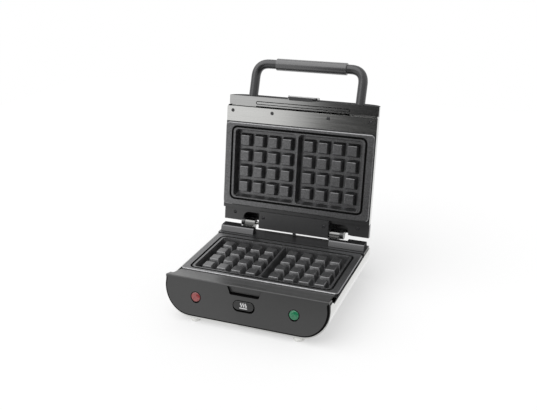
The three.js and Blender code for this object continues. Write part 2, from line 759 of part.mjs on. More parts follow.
function lampLens() {
  const profile = [
    [0, -lampBody], [lampRadius, -lampBody], [lampRadius, 0],
    [lampRadius * lampShoulderShare, lampDome * Math.sqrt(lampShoulderShare)], [0, lampDome],
  ].map(([r, y]) => new THREE.Vector2(r, y));
  return solid(new THREE.LatheGeometry(profile, barrelSides).rotateX(Math.PI));
}

// Hinge blocks stand on the rear deck; steel barrels with a leaf are screwed to them

function hingeBlock(side) {
  const low = deckTopZ + seatGap;
  const frontY = blockFrontY;
  const profile = polygon([
    [frontY, low], [blockRearY, low], [blockRearY, blockTopZ - blockBevel], [blockRearY - blockBevel, blockTopZ],
    [frontY + blockSlope + blockBevel, blockTopZ], [frontY + blockSlope, blockTopZ - blockBevel],
  ]);
  const [x0, x1] = span(side, blockInnerX, blockOuterX);
  const [r0, r1] = span(side, blockInnerX - cutOver, blockReliefX);
  return prismX(profile, x0, x1).subtract(
    box(r0, r1, blockReliefY, blockRearY + cutOver, low - cutOver, blockTopZ + cutOver),
  );
}

function hingeKnuckle(side) {
  const [x0, x1] = span(side, barrelInnerX(side), barrelOuterX(side));
  const barrel = cylinderX(hingeY, hingeZ, barrelRadius, x0, x1, barrelSides);
  const leafLow = blockTopZ + seatGap;
  const leafFront = blockReliefY - leafLength / 2;
  const leaf = box(x0, x1, leafFront, hingeY - barrelRadius / 2, leafLow, leafLow + leafThickness);
  const post = box(x0, x1, blockReliefY + leafThickness, hingeY, deckTopZ + seatGap, leafLow);
  return unite([barrel, leaf, post]).subtract(
    cylinderX(hingeY, hingeZ, pinRadius + seatGap, x0 - cutOver, x1 + cutOver, barrelSides),
  );
}

function hingePin(side) {
  const [x0, x1] = span(side, rearBoxHalf - mouldingWall, earOuterX(side));
  return cylinderX(hingeY, hingeZ, pinRadius, x0, x1, barrelSides);
}

// Heating elements in their reflector trays. The tray opens upwards under the lower plate.

function heaterTray(rearY) {
  const flangeX = trayHalfX + trayFlange;
  const flangeY = trayHalfY + trayFlange;
  const tub = prismZ(
    roundedRectangle(-trayHalfX, trayHalfX, -trayHalfY, trayHalfY, mouldCorner), -trayDepth, 0,
  );
  const flange = prismZ(roundedRectangle(-flangeX, flangeX, -flangeY, rearY, mouldCorner), -trayWall, 0);
  const inner = prismZ(roundedRectangle(
    trayWall - trayHalfX, trayHalfX - trayWall, trayWall - trayHalfY, trayHalfY - trayWall, mouldCorner - trayWall,
  ), trayWall - trayDepth, cutOver);
  return tub.add(flange).subtract(inner);
}

function heaterPath(z, rearY) {
  const path = new THREE.CurvePath();
  const at = (x, y) => new THREE.Vector3(x, y, z);
  const line = (a, b) => path.add(new THREE.LineCurve3(a, b));
  const bend = (a, corner, b) => path.add(new THREE.QuadraticBezierCurve3(a, corner, b));
  const x = heaterHalfX;
  const y = heaterHalfY;
  const r = heaterCorner;
  line(at(-heaterTail, rearY), at(-heaterTail, y + r / 2));
  bend(at(-heaterTail, y + r / 2), at(-heaterTail, y), at(-heaterTail - r / 2, y));
  line(at(-heaterTail - r / 2, y), at(r - x, y));
  bend(at(r - x, y), at(-x, y), at(-x, y - r));
  line(at(-x, y - r), at(-x, r - y));
  bend(at(-x, r - y), at(-x, -y), at(r - x, -y));
  line(at(r - x, -y), at(x - r, -y));
  bend(at(x - r, -y), at(x, -y), at(x, r - y));
  line(at(x, r - y), at(x, y - r));
  bend(at(x, y - r), at(x, y), at(x - r, y));
  line(at(x - r, y), at(heaterTail + r / 2, y));
  bend(at(heaterTail + r / 2, y), at(heaterTail, y), at(heaterTail, y + r / 2));
  line(at(heaterTail, y + r / 2), at(heaterTail, rearY));
  return path;
}

function tubeAlong(path, radius, sides, steps) {
  const section = new THREE.Shape();
  for (let side = 0; side < sides; side += 1) {
    const angle = 2 * Math.PI * side / sides;
    const [a, b] = [radius * Math.cos(angle), radius * Math.sin(angle)];
    if (side === 0) section.moveTo(a, b);
    else section.lineTo(a, b);
  }
  section.closePath();
  return solid(new THREE.ExtrudeGeometry(section, { steps, extrudePath: path, curveSegments: 1 }));
}

function tailHoles(z, tray) {
  return mirrored((side) => cylinderY(
    side * heaterTail, z, heaterRadius + seatGap, trayHalfY - trayWall - cutOver, trayHalfY + cutOver,
  )).reduce((whole, hole) => whole.subtract(hole), tray);
}

// Lid: moulded front and rear, sheet cover, sheet inner frame

function lidFrontTrim() {
  const rear = trimRearY;
  const outer = prismY(
    lidOutline(faceHalfWidth, trimBottomZ, lidTopZ, lidCorner), trimFrontY, rear, outlineSteps,
  );
  const wall = mouldingWall;
  const inner = prismY(lidOutline(
    faceHalfWidth - wall, trimBottomZ + wall, lidTopZ - wall, lidCorner - wall,
  ), trimFrontY + faceWall, rear + cutOver, outlineSteps);
  const slot = (margin, z0, z1) => prismZ(roundedRectangle(
    -slotHalf - margin, slotHalf + margin, slotY - slotWidth / 2 - margin, slotY + slotWidth / 2 + margin,
    slotWidth / 2 + margin,
  ), z0, z1);
  const ring = slot(slotGroove, trimBottomZ - cutOver, trimBottomZ + wall / 2)
    .subtract(slot(0, trimBottomZ - cutOver * 2, trimBottomZ + wall));
  let trim = outer.subtract(inner).subtract(ring);

  // Beyond the ends of the slot a deeper ledge closes the gap to the inner frame
  for (const side of [-1, 1]) {
    const [x0, x1] = span(side, slotHalf + slotGroove, faceHalfWidth - wall);
    trim = trim.add(box(x0, x1, rear - wall, rear + stripGap - runGap, trimBottomZ + wall / 2, trimBottomZ + wall));
  }

  // Ears for the latch pin, and sockets for the handle tube
  for (const side of [-1, 1]) {
    const [x0, x1] = span(side, latchShoulder + runGap, latchShoulder + runGap + latchEarThickness);
    trim = trim.add(cylinderX(latchPinY, latchPinZ, latchEarRadius, x0, x1, barrelSides)
      .add(box(x0, x1, latchPinY, trimFrontY + wall, latchPinZ - latchEarRadius, latchPinZ + latchEarRadius)));
  }
  trim = trim.subtract(cylinderX(
    latchPinY, latchPinZ, latchPinRadius + seatGap, -latchShoulder * 2, latchShoulder * 2,
  ));
  return trim.subtract(handleTube(seatGap));
}

function lidCover() {
  const wall = sheetThickness;
  const outer = prismY(
    lidOutline(faceHalfWidth, coverBottomZ, lidTopZ, lidCorner), coverFrontY, coverRearY, outlineSteps,
  );
  return outer.subtract(prismY(lidOutline(
    faceHalfWidth - wall, coverBottomZ - cutOver, lidTopZ - wall, lidCorner - wall,
  ), coverFrontY - cutOver, coverRearY + cutOver, outlineSteps));
}

function innerFrame() {
  const outline = roundedRectangle(
    -innerFrameHalf, innerFrameHalf, stripFrontY, rearPanelY - seatGap, sheetThickness,
  );
  const openX = tubHalfX + tubClearance;
  const openY = tubHalfY + tubClearance;
  outline.holes.push(roundedRectangle(-openX, openX, -openY, openY, mouldCorner));
  const sheet = prismZ(outline, innerFrameZ, innerFrameTopZ);
  const upturn = box(
    -innerFrameHalf + lidCorner / 4, innerFrameHalf - lidCorner / 4, stripFrontY, stripFrontY + sheetThickness,
    innerFrameZ, innerFrameTopZ + stripUpturn,
  );
  const cover = prismY(lidOutline(
    faceHalfWidth, coverBottomZ - seatGap, lidTopZ, lidCorner,
  ), coverFrontY - cutOver, coverRearY + cutOver).subtract(prismY(lidOutline(
    faceHalfWidth - sheetThickness - seatGap, coverBottomZ - cutOver, lidTopZ - sheetThickness - seatGap,
    lidCorner - sheetThickness - seatGap,
  ), coverFrontY - cutOver * 2, coverRearY + cutOver * 2));
  let frame = sheet.add(upturn.subtract(cover));
  for (const [x, y] of stripScrews()) {
    frame = frame.subtract(cylinderZ(x, y, screwHead + seatGap, innerFrameZ - cutOver, innerFrameTopZ + cutOver));
  }
  return frame;
}

function lidRearPanel() {
  const wall = mouldingWall;
  const cap = prismY(
    lidOutline(faceHalfWidth, rearSideZ, lidTopZ, lidCorner), rearPanelY, rearSideY, outlineSteps,
  );
  const boxSolid = box(-rearBoxHalf, rearBoxHalf, rearPanelY, rearBoxY, rearBoxZ, lidTopZ);
  const capRoom = prismY(lidOutline(
    faceHalfWidth - wall, rearSideZ + wall, lidTopZ - wall, lidCorner - wall,
  ), rearPanelY - cutOver, rearSideY - wall, outlineSteps);
  const boxRoom = box(
    wall - rearBoxHalf, rearBoxHalf - wall, rearPanelY - cutOver, rearBoxY - wall, rearBoxZ + wall, lidTopZ - wall,
  );
  let panel = cap.subtract(capRoom);
  for (const side of [-1, 1]) {
    // Arched opening round the hinge barrel, and the ear under the rear wall that holds the outer end of the pin
    const [x0, x1] = span(side, rearBoxHalf - wall - archCorner, archOuterX);
    const arch = prismZ(roundedRectangle(x0, x1, archFrontY, rearSideY * 2, archCorner), rearSideZ - cutOver, archTopZ);
    panel = panel.subtract(arch);
    const [e0, e1] = span(side, earInnerX(side), earOuterX(side));
    panel = panel.add(box(e0, e1, hingeY - earRadius, rearSideY, hingeZ, archTopZ + wall / 2))
      .add(cylinderX(hingeY, hingeZ, earRadius, e0, e1, barrelSides));
  }
  const rib = box(
    -stopHalf, stopHalf, rearBoxY - wall / 2, 2 * hingeY - plateRearY, hingeZ - stopHeight / 2, hingeZ + stopHeight / 2,
  );
  const reach = hingeZ - deckTopZ - seatGap;
  const limit = cylinderX(hingeY, hingeZ, reach, -stopHalf, stopHalf, barrelSides * 2);
  panel = panel.add(boxSolid).subtract(boxRoom).add(rib.intersect(limit));
  panel = panel.subtract(cylinderX(
    hingeY, hingeZ, pinRadius + seatGap, -archOuterX - wall - cutOver, archOuterX + wall + cutOver, barrelSides,
  ));
  for (const [x, y, z] of rearScrews()) {
    panel = panel.subtract(cylinderZ(x, y, screwHead + seatGap, z - cutOver, z + screwHeadThickness + seatGap))
      .subtract(cylinderZ(x, y, screwShank + seatGap, z, z + wall + cutOver));
  }
  return panel;
}

function stripScrews() {
  const outer = faceHalfWidth - stripScrewOuterInset;
  const inner = faceHalfWidth - stripScrewInnerInset;
  return [-outer, -inner, inner, outer].map((x) => [x, stripFrontY + stripScrewMargin]);
}

function rearScrews() {
  const outer = faceHalfWidth - rearScrewOuterInset;
  const inner = rearBoxHalf - rearScrewInnerInset;
  const outerY = rearPanelY + rearScrewOuterMargin;
  const innerY = rearPanelY + rearScrewInnerMargin;
  return [
    [-outer, outerY, rearSideZ], [-inner, innerY, rearBoxZ], [inner, innerY, rearBoxZ], [outer, outerY, rearSideZ],
  ];
}

function screw() {
  const profile = [
    [0, 0], [screwHead, 0], [screwHead, screwHeadThickness], [screwShank, screwHeadThickness],
    [screwShank, screwLength], [0, screwLength],
  ].map(([r, z]) => new THREE.Vector2(r, z));
  return solid(new THREE.LatheGeometry(profile, smallSides).rotateX(Math.PI / 2));
}

// Handle: a bent tube whose legs enter the lid's front, and a thicker grip sleeve

function handlePlane(along, x = 0) {
  return new THREE.Vector3(x, legRootY - along * Math.cos(handleTilt), legRootZ + along * Math.sin(handleTilt));
}

function handleTube(extra = 0) {
  const path = new THREE.CurvePath();
  const straight = handleReach - bendRadius;
  const inner = legSpread - bendRadius;
  path.add(new THREE.LineCurve3(handlePlane(0, -legSpread), handlePlane(straight, -legSpread)));
  path.add(new THREE.QuadraticBezierCurve3(
    handlePlane(straight, -legSpread), handlePlane(handleReach, -legSpread), handlePlane(handleReach, -inner),
  ));
  path.add(new THREE.LineCurve3(handlePlane(handleReach, -inner), handlePlane(handleReach, inner)));
  path.add(new THREE.QuadraticBezierCurve3(
    handlePlane(handleReach, inner), handlePlane(handleReach, legSpread), handlePlane(straight, legSpread),
  ));
  path.add(new THREE.LineCurve3(handlePlane(straight, legSpread), handlePlane(0, legSpread)));
  return tubeAlong(path, tubeRadius + extra, tubeSides, handleSteps);
}

function handleGrip() {
  const profile = [
    [0, -gripHalf], [gripRadius - gripEdge, -gripHalf], [gripRadius, gripEdge - gripHalf],
    [gripRadius, gripHalf - gripEdge], [gripRadius - gripEdge, gripHalf], [0, gripHalf],
  ].map(([r, y]) => new THREE.Vector2(r, y));
  const centre = handlePlane(handleReach, gripShift);
  const bore = cylinderX(
    centre.y, centre.z, tubeRadius + seatGap, gripShift - gripHalf - cutOver, gripShift + gripHalf + cutOver,
    barrelSides,
  );
  return solid(new THREE.LatheGeometry(profile, barrelSides).rotateZ(-Math.PI / 2)
    .translate(centre.x, centre.y, centre.z)).subtract(bore);
}

// Latch: a clip on a cross pin in front of the lid
function latchClip() {
  const face = trimFrontY - runGap;
  const front = latchPinY - latchHub;
  const profile = polygon([
    [front, latchTopZ], [front, latchEndZ], [front + latchWall, latchEndZ],
    [front + latchWall, faceTopZ + runGap * 2], [face, faceTopZ + runGap * 6], [face, latchPinZ],
    [latchPinY, latchTopZ],
  ]);
  const outline = polygon([
    [-latchShoulder, latchTopZ], [-latchShoulder, trimBottomZ], [-latchHalf, latchEndZ],
    [latchHalf, latchEndZ], [latchShoulder, trimBottomZ], [latchShoulder, latchTopZ],
  ]);
  return prismX(profile, -latchShoulder, latchShoulder)
    .intersect(prismY(outline, front - cutOver, face + cutOver))
    .subtract(cylinderX(latchPinY, latchPinZ, latchPinRadius + seatGap, -latchShoulder * 2, latchShoulder * 2));
}

// Push button with its stem, drawn on the face: local -Y points out of the fascia
function releaseButton() {
  const cap = prismY(roundedRectangle(
    -buttonHalfX, buttonHalfX, -buttonHalfZ, buttonHalfZ, buttonHalfZ,
  ), -buttonProud, buttonCap);
  const stemEnd = (catchPinY - catchArm - seatGap * 2 - faceY(buttonZ)) / Math.cos(faceTilt);
  return cap.add(box(-stemHalf, stemHalf, buttonCap / 2, stemEnd, -stemHalf, stemHalf));
}

// Rocker between the button's stem and the lug of the lower plate
function plateCatch() {
  const hub = cylinderX(catchPinY, catchPinZ, catchHub, -catchHalf, catchHalf, barrelSides);
  const stemZ = buttonZ - (catchPinY - faceY(buttonZ)) * Math.tan(faceTilt);
  const nose = plateFrontY - seatGap;
  const profile = polygon([
    [catchPinY - catchArm, stemZ - catchHub], [catchPinY, stemZ - catchHub],
    [catchPinY + catchHub / 2, catchPinZ], [nose, catchNoseZ - catchArm], [nose, catchNoseZ],
    [nose - catchArm, catchNoseZ], [catchPinY - catchHub / 2, catchPinZ + catchHub / 2],
  ]);
  return prismX(profile, -catchHalf, catchHalf).add(hub)
    .subtract(cylinderX(catchPinY, catchPinZ, catchPinRadius + seatGap, -catchPinHalf, catchPinHalf));
}

function thermostat() {
  return cylinderZ(0, 0, thermostatRadius, 0, thermostatHeight, barrelSides)
    .add(box(-thermostatRadius - trayFlange, thermostatRadius + trayFlange, -trayFlange, trayFlange,
      thermostatHeight - trayWall, thermostatHeight));
}

function terminalBlock() {
  let block = box(-terminalHalfX, terminalHalfX, -terminalDepth / 2, terminalDepth / 2, 0, terminalHeight);
  for (const share of terminalShares) {
    block = block.subtract(cylinderY(
      share * terminalHalfX, terminalHeight / 2, terminalBore, -terminalDepth, terminalDepth,
    ));
  }
  return block;
}

function cordGland() {
  const wall = mouldingWall;
  const profile = [
    [glandBore, -wall - glandFlangeThickness], [glandFlange - wall, -wall - glandFlangeThickness],
    [glandFlange - wall, -wall - seatGap], [glandRadius, -wall - seatGap], [glandRadius, seatGap],
    [glandFlange, seatGap], [glandFlange, glandFlangeThickness], [glandRadius, glandFlangeThickness],
    [glandBore + wall, glandReach], [glandBore, glandReach], [glandBore, -wall - glandFlangeThickness],
  ].map(([r, y]) => new THREE.Vector2(r, y));
  return solid(new THREE.LatheGeometry(profile, barrelSides));
}

// Assembly

const appliance = new THREE.Group();

function place(mesh, x, y, z, parent = appliance) {
  mesh.position.set(x, y, z);
  parent.add(mesh);
  return mesh;
}

appliance.add(part('base_shell', baseShell(), brushedSteel));
appliance.add(part('front_fascia', frontFascia(), fasciaPlastic));
appliance.add(part('lower_plate_frame', lowerFrame(), blackPlastic));
appliance.add(part('rear_housing', rearHousing(), blackPlastic));
place(part('lower_waffle_plate', lowerPlate(), nonStick), 0, 0, rimHeight);

for (const [name, side] of [['left', -1], ['right', 1]]) {
  appliance.add(part(`hinge_block_${name}`, hingeBlock(side), hingePaint));
  appliance.add(part(`hinge_knuckle_${name}`, hingeKnuckle(side), hingeSteel));
  place(part(`foot_front_${name}`, foot(), paleRubber), side * footX, footFrontY, 0);
  place(part(`foot_rear_${name}`, foot(), paleRubber), side * footX, footRearY, 0);
}

for (const [name, side, material] of [['red', -1, redLens], ['green', 1, greenLens]]) {
  const lens = place(part(`${name}_lamp_lens`, lampLens(), material), side * lampX, faceY(lampZ), lampZ);
  lens.rotation.x = -faceTilt;
}

const button = place(part('release_button', releaseButton(), blackPlastic), 0, faceY(buttonZ), buttonZ);
button.rotation.x = -faceTilt;
appliance.add(part('plate_catch', plateCatch(), hingeSteel));
appliance.add(part(
  'catch_pin', cylinderX(catchPinY, catchPinZ, catchPinRadius, -catchPinHalf, catchPinHalf), hingeSteel,
));

const trayRearY = rearFrontY - seatGap * 2;
const lowerTray = tailHoles(heaterZ - trayTopZ, heaterTray(trayHalfY + trayFlange));
place(part('lower_reflector', lowerTray, reflectorSteel), 0, 0, trayTopZ);
appliance.add(part(
  'lower_heating_element',
  tubeAlong(heaterPath(heaterZ, trayRearY), heaterRadius, elementSides, heaterSteps), elementSteel,
));
place(part('thermostat', thermostat(), ceramic), thermostatX, 0,
  trayTopZ - trayDepth - thermostatHeight - seatGap);
place(part('terminal_block', terminalBlock(), ceramic), terminalX,
  rearWallY - mouldingWall - terminalDepth / 2 - seatGap,
  shellBottomZ + sheetThickness + mouldingWall + terminalRise);
place(part('cord_gland', cordGland(), blackPlastic), glandX, rearWallY, glandZ);

// The lid turns about the hinge axis; inside the second group its pieces are drawn closed
const lidHinge = new THREE.Group();
lidHinge.position.set(0, hingeY, hingeZ);
lidHinge.rotation.x = -openAngle;
appliance.add(lidHinge);
const lid = new THREE.Group();
lid.position.set(0, -hingeY, -hingeZ);
lidHinge.add(lid);

lid.add(part('lid_front_trim', lidFrontTrim(), brushedSteel));
lid.add(part('lid_cover', lidCover(), brushedSteel));
lid.add(part('lid_inner_frame', innerFrame(), brushedSteel));
lid.add(part('lid_rear_panel', lidRearPanel(), blackPlastic));
for (const [name, side] of [['left', -1], ['right', 1]]) {
  lid.add(part(`hinge_pin_${name}`, hingePin(side), hingeSteel));
}
stripScrews().forEach(([x, y], i) => {
  place(part(`strip_screw_${i + 1}`, screw(), screwSteel), x, y, innerFrameZ - seatGap, lid);
});
rearScrews().forEach(([x, y, z], i) => {
  place(part(`rear_screw_${i + 1}`, screw(), screwSteel), x, y, z, lid);
});
lid.add(part('handle_tube', handleTube(), handlePaint));
lid.add(part('handle_grip', handleGrip(), handlePaint));
lid.add(part('latch_clip', latchClip(), blackPlastic));
const latchPinEnd = latchShoulder + runGap + latchEarThickness;
lid.add(part(
  'latch_pin', cylinderX(latchPinY, latchPinZ, latchPinRadius, -latchPinEnd, latchPinEnd), hingeSteel,
));
const upperPlate = place(part('upper_waffle_plate', wafflePlate(), nonStick), 0, 0, lidRimZ, lid);
upperPlate.rotation.y = Math.PI;
const upperTray = place(
  part('upper_reflector', tailHoles(upperTrayZ - upperHeaterZ, heaterTray(trayHalfY + trayFlange)), reflectorSteel),
  0, 0, upperTrayZ, lid,
);
upperTray.rotation.y = Math.PI;
lid.add(part(
  'upper_heating_element',
  tubeAlong(heaterPath(upperHeaterZ, trayRearY), heaterRadius, elementSides, heaterSteps), elementSteel,
));

// The origin goes to the middle of the bounding box, on the table
const model = new THREE.Group();
model.add(appliance);
appliance.updateMatrixWorld(true);
const bounds = new THREE.Box3().setFromObject(appliance, true);
const centre = bounds.getCenter(new THREE.Vector3());
appliance.position.set(-centre.x, -centre.y, -bounds.min.z);

export default model;
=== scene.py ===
"""Looks of the sandwich and waffle maker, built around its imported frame."""

import json
import math

import bmesh
import bpy
from mathutils import Matrix, Vector

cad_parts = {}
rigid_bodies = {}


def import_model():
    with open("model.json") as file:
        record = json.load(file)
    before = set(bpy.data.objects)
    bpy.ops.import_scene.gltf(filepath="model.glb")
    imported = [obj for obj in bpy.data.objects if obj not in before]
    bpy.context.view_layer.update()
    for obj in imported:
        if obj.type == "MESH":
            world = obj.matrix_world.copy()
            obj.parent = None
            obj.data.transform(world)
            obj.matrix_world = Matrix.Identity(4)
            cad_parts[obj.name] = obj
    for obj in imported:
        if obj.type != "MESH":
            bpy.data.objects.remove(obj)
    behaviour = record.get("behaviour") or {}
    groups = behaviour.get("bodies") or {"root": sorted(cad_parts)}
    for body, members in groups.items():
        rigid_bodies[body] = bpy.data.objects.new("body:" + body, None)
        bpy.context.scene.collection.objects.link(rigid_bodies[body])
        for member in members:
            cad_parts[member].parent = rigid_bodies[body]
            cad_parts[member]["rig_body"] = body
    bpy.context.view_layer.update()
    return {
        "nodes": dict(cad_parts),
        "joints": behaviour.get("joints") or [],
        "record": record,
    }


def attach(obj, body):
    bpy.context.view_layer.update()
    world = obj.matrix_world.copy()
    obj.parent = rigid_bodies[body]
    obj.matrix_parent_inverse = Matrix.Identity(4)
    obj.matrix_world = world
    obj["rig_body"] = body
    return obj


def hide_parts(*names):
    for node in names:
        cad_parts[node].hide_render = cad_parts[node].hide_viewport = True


bl_info = {
    "name": "Waffle maker looks",
    "version": (1, 0, 0),
    "blender": (4, 5, 0),
    "location": "View3D > Sidebar > Waffle maker",
    "description": "Builds the finished pieces, materials and studio of a waffle maker",
    "category": "Object",
}

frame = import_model()
MM = 0.001

# The middle of the moulds lies 100 mm in front of the hinge axis, and other places are counted from it
HINGE = Vector(next(j["pos_m"] for j in frame["joints"] if j["name"] == "lid_hinge"))
MOULD_Y = HINGE.y - 100 * MM

# Rims of the two plates while the lid is closed, and how far the lid stands open at rest
LOWER_RIM = 59.5 * MM
UPPER_RIM = 60.5 * MM
OPEN = math.radians(100)

# The fascia's face leans back from its lower edge, and carries the button between two lamps
FACE_TILT = math.radians(9)
FACE_BOTTOM = Vector((0, MOULD_Y - 118.5 * MM, 13.5 * MM))
BUTTON_Z = 41.2 * MM
LAMP_X = 75.8 * MM
LAMP_Z = 41.5 * MM

# Points and facets of a CAD mesh that count as one, and the angle from which an edge is rounded
SAME_POINT = 0.02 * MM
SAME_PLANE = math.radians(0.6)
SHARP = math.radians(28)


def linear(text):
    """An sRGB hex colour as linear values."""
    parts = [int(text[i : i + 2], 16) / 255 for i in (0, 2, 4)]
    return [c / 12.92 if c <= 0.04045 else ((c + 0.055) / 1.055) ** 2.4 for c in parts]


def colour(name, text, about):
    return bpy.props.FloatVectorProperty(
        name=name, description=about, subtype="COLOR", size=3, min=0, max=1, default=linear(text)
    )


def length(name, value, about):
    return bpy.props.FloatProperty(
        name=name, description=about, subtype="DISTANCE", unit="LENGTH", min=0, default=value * MM
    )


class PlateLooks(bpy.types.PropertyGroup):
    """Sizes and colour of the two waffle plates."""

    columns: bpy.props.IntProperty(name="Columns", description="Blocks across one mould", default=4)
    rows: bpy.props.IntProperty(name="Rows", description="Blocks from front to rear", default=4)
    pitch_x: length("Pitch across", 24, "Distance between columns of blocks")
    pitch_y: length("Pitch in depth", 25.6, "Distance between rows of blocks")
    mould_x: length("Mould centre", 54.3, "Distance of a mould's middle from the plate's middle")
    top_x: length("Block width", 14.2, "Width of a block's top")
    top_y: length("Block depth", 15.8, "Depth of a block's top")
    draft: length("Block draft", 2.8, "How much wider a block is at its foot, on each side")
    height: length("Block height", 11, "Height of a block above the channel floor")
    drop: length("Block drop", 1.5, "How far the block tops lie below the rim")
    corner: length("Block corner", 1, "Rounding of a block's upright corners")
    edge: length("Edge radius", 0.6, "Rounding of the cast edges")
    groove: length("Groove depth", 2, "Depth of the overflow groove below the rim")
    coating: colour("Coating", "717172", "Colour of the non-stick coating")


class BodyLooks(bpy.types.PropertyGroup):
    """Colours and roundings of the housing."""

    fascia_edge: length("Fascia edge", 3.2, "Rounding round the fascia's outline")
    moulded_edge: length("Moulded edge", 0.5, "Rounding of the other moulded edges")
    sheet_edge: length("Sheet edge", 0.25, "Rounding of the sheet metal's edges")
    fascia: colour("Fascia", "363636", "Dark grey of the moulded front")
    black: colour("Black plastic", "262627", "Colour of the lid's mouldings")
    steel: colour("Steel", "cfcfcd", "Colour of the bright brushed steel")
    handle: colour("Handle", "3d3d3e", "Colour of the painted handle")
    red: colour("Red lamp", "a34343", "Colour of the left lamp")
    green: colour("Green lamp", "18865a", "Colour of the right lamp")


class StageLooks(bpy.types.PropertyGroup):
    """The camera and the light."""

    lens: bpy.props.FloatProperty(name="Lens", description="Focal length in mm", default=51.36)
    key: bpy.props.FloatProperty(
        name="Key", description="Strength of the soft sun, high at the front left", default=1.5
    )
    softness: bpy.props.FloatProperty(
        name="Softness", description="Width of the sun in the sky", subtype="ANGLE",
        default=math.radians(75),
    )
    room_light: bpy.props.FloatProperty(
        name="Room light", description="Strength of the room's light on matt surfaces", default=0.78
    )
    floor_glow: bpy.props.FloatProperty(
        name="Floor glow", description="Share of the floor's white that takes no shadow", default=0.42
    )
    unlit_side: bpy.props.FloatProperty(
        name="Unlit side", description="Degrees from the front to the unlit side of the room", default=30
    )


# Materials


def add(tree, kind, sockets=None, **fields):
    """Adds a node, sets its fields, and sets or links its inputs."""
    made = tree.nodes.new(kind)
    for name, value in fields.items():
        setattr(made, name, value)
    for key, value in (sockets or {}).items():
        socket = made.inputs[key]
        if isinstance(value, bpy.types.NodeSocket):
            tree.links.new(value, socket)
        else:
            socket.default_value = value
    return made


def surface(name, base, **shader_values):
    """A material with its shader: returns the material, its tree, the shader and Object coordinates."""
    material = bpy.data.materials.new(name)
    material.use_nodes = True
    tree = material.node_tree
    tree.nodes.clear()
    values = {key.replace("_", " "): value for key, value in shader_values.items()}
    shader = add(tree, "ShaderNodeBsdfPrincipled", {"Base Color": (*base, 1), **values})
    add(tree, "ShaderNodeOutputMaterial", {"Surface": shader.outputs["BSDF"]})
    coordinates = add(tree, "ShaderNodeTexCoord").outputs["Object"]
    return material, tree, shader, coordinates


def grain(tree, shader, coordinates, per_metre, depth, strength=0.3, stretch=(1, 1, 1), detail=2.0):
    """Noise with so many grains to a metre, raised as a bump; returns the noise value."""
    placed = add(tree, "ShaderNodeMapping", {"Vector": coordinates, "Scale": stretch})
    noise = add(
        tree, "ShaderNodeTexNoise",
        {"Vector": placed.outputs["Vector"], "Scale": per_metre, "Detail": detail},
    )
    bump = add(
        tree, "ShaderNodeBump",
        {"Height": noise.outputs["Fac"], "Distance": depth, "Strength": strength},
    )
    tree.links.new(bump.outputs["Normal"], shader.inputs["Normal"])
    return noise.outputs["Fac"]


def vary(tree, shader, value, dark, light, low=0.35, high=0.65):
    """Lets a noise value move the colour between two close tones."""
    ramp = add(tree, "ShaderNodeValToRGB", {"Fac": value})
    ramp.color_ramp.elements[0].position = low
    ramp.color_ramp.elements[1].position = high
    ramp.color_ramp.elements[0].color = (*dark, 1)
    ramp.color_ramp.elements[1].color = (*light, 1)
    tree.links.new(ramp.outputs["Color"], shader.inputs["Base Color"])


def vary_roughness(tree, shader, value, low, high):
    spread = add(tree, "ShaderNodeMapRange", {"Value": value, "To Min": low, "To Max": high})
    tree.links.new(spread.outputs["Result"], shader.inputs["Roughness"])


def shade(base, factor):
    return [min(1, c * factor) for c in base]


def moulded_abs(name, base, roughness, polish, index=1.54):
    """Injection-moulded ABS with an even pebble of 0.7 mm; a low index takes the gloss off gaps."""
    material, tree, shader, at = surface(
        name, base, Roughness=roughness, IOR=index, Coat_Weight=polish, Coat_Roughness=0.22
    )
    pebble = grain(tree, shader, at, 1400, depth=0.06 * MM, strength=0.35)
    vary(tree, shader, pebble, shade(base, 0.93), shade(base, 1.06))
    cloud = add(tree, "ShaderNodeTexNoise", {"Vector": at, "Scale": 18.0, "Detail": 1.0})
    vary_roughness(tree, shader, cloud.outputs["Fac"], roughness - 0.04, roughness + 0.05)
    return material


def brushed_stainless(name, base, roughness, stretch, relief):
    """Stainless sheet with a brushed grain: scratches about 1 mm apart that stretch the reflections."""
    material, tree, shader, at = surface(name, base, Roughness=roughness, Metallic=1.0)
    lines = grain(tree, shader, at, 900, depth=0.02 * MM, strength=relief, stretch=stretch, detail=3.0)
    vary(tree, shader, lines, shade(base, 0.92), shade(base, 1.03), 0.3, 0.7)
    vary_roughness(tree, shader, lines, roughness - 0.03, roughness + 0.06)
    return material


def cast_non_stick(name, base):
    """Die-cast aluminium under sprayed non-stick: satin, with a pebble of 2 mm and bright flecks."""
    material, tree, shader, at = surface(
        name, base, Roughness=0.28, Metallic=0.9, Coat_Weight=0.1, Coat_Roughness=0.2
    )
    orange_peel = grain(tree, shader, at, 520, depth=0.1 * MM, strength=0.35, detail=3.0)
    vary(tree, shader, orange_peel, shade(base, 0.8), shade(base, 1.2), 0.4, 0.62)
    cloud = add(tree, "ShaderNodeTexNoise", {"Vector": at, "Scale": 60.0, "Detail": 2.0})
    vary_roughness(tree, shader, cloud.outputs["Fac"], 0.26, 0.36)
    return material


def powder_coat(name, base, roughness):
    """Powder-coated steel: a shallow orange peel of 2 mm with a satin sheen."""
    material, tree, shader, at = surface(
        name, base, Roughness=roughness, Metallic=0.6, Coat_Weight=0.4, Coat_Roughness=0.2
    )
    peel = grain(tree, shader, at, 450, depth=0.08 * MM)
    vary(tree, shader, peel, shade(base, 0.94), shade(base, 1.06))
    return material


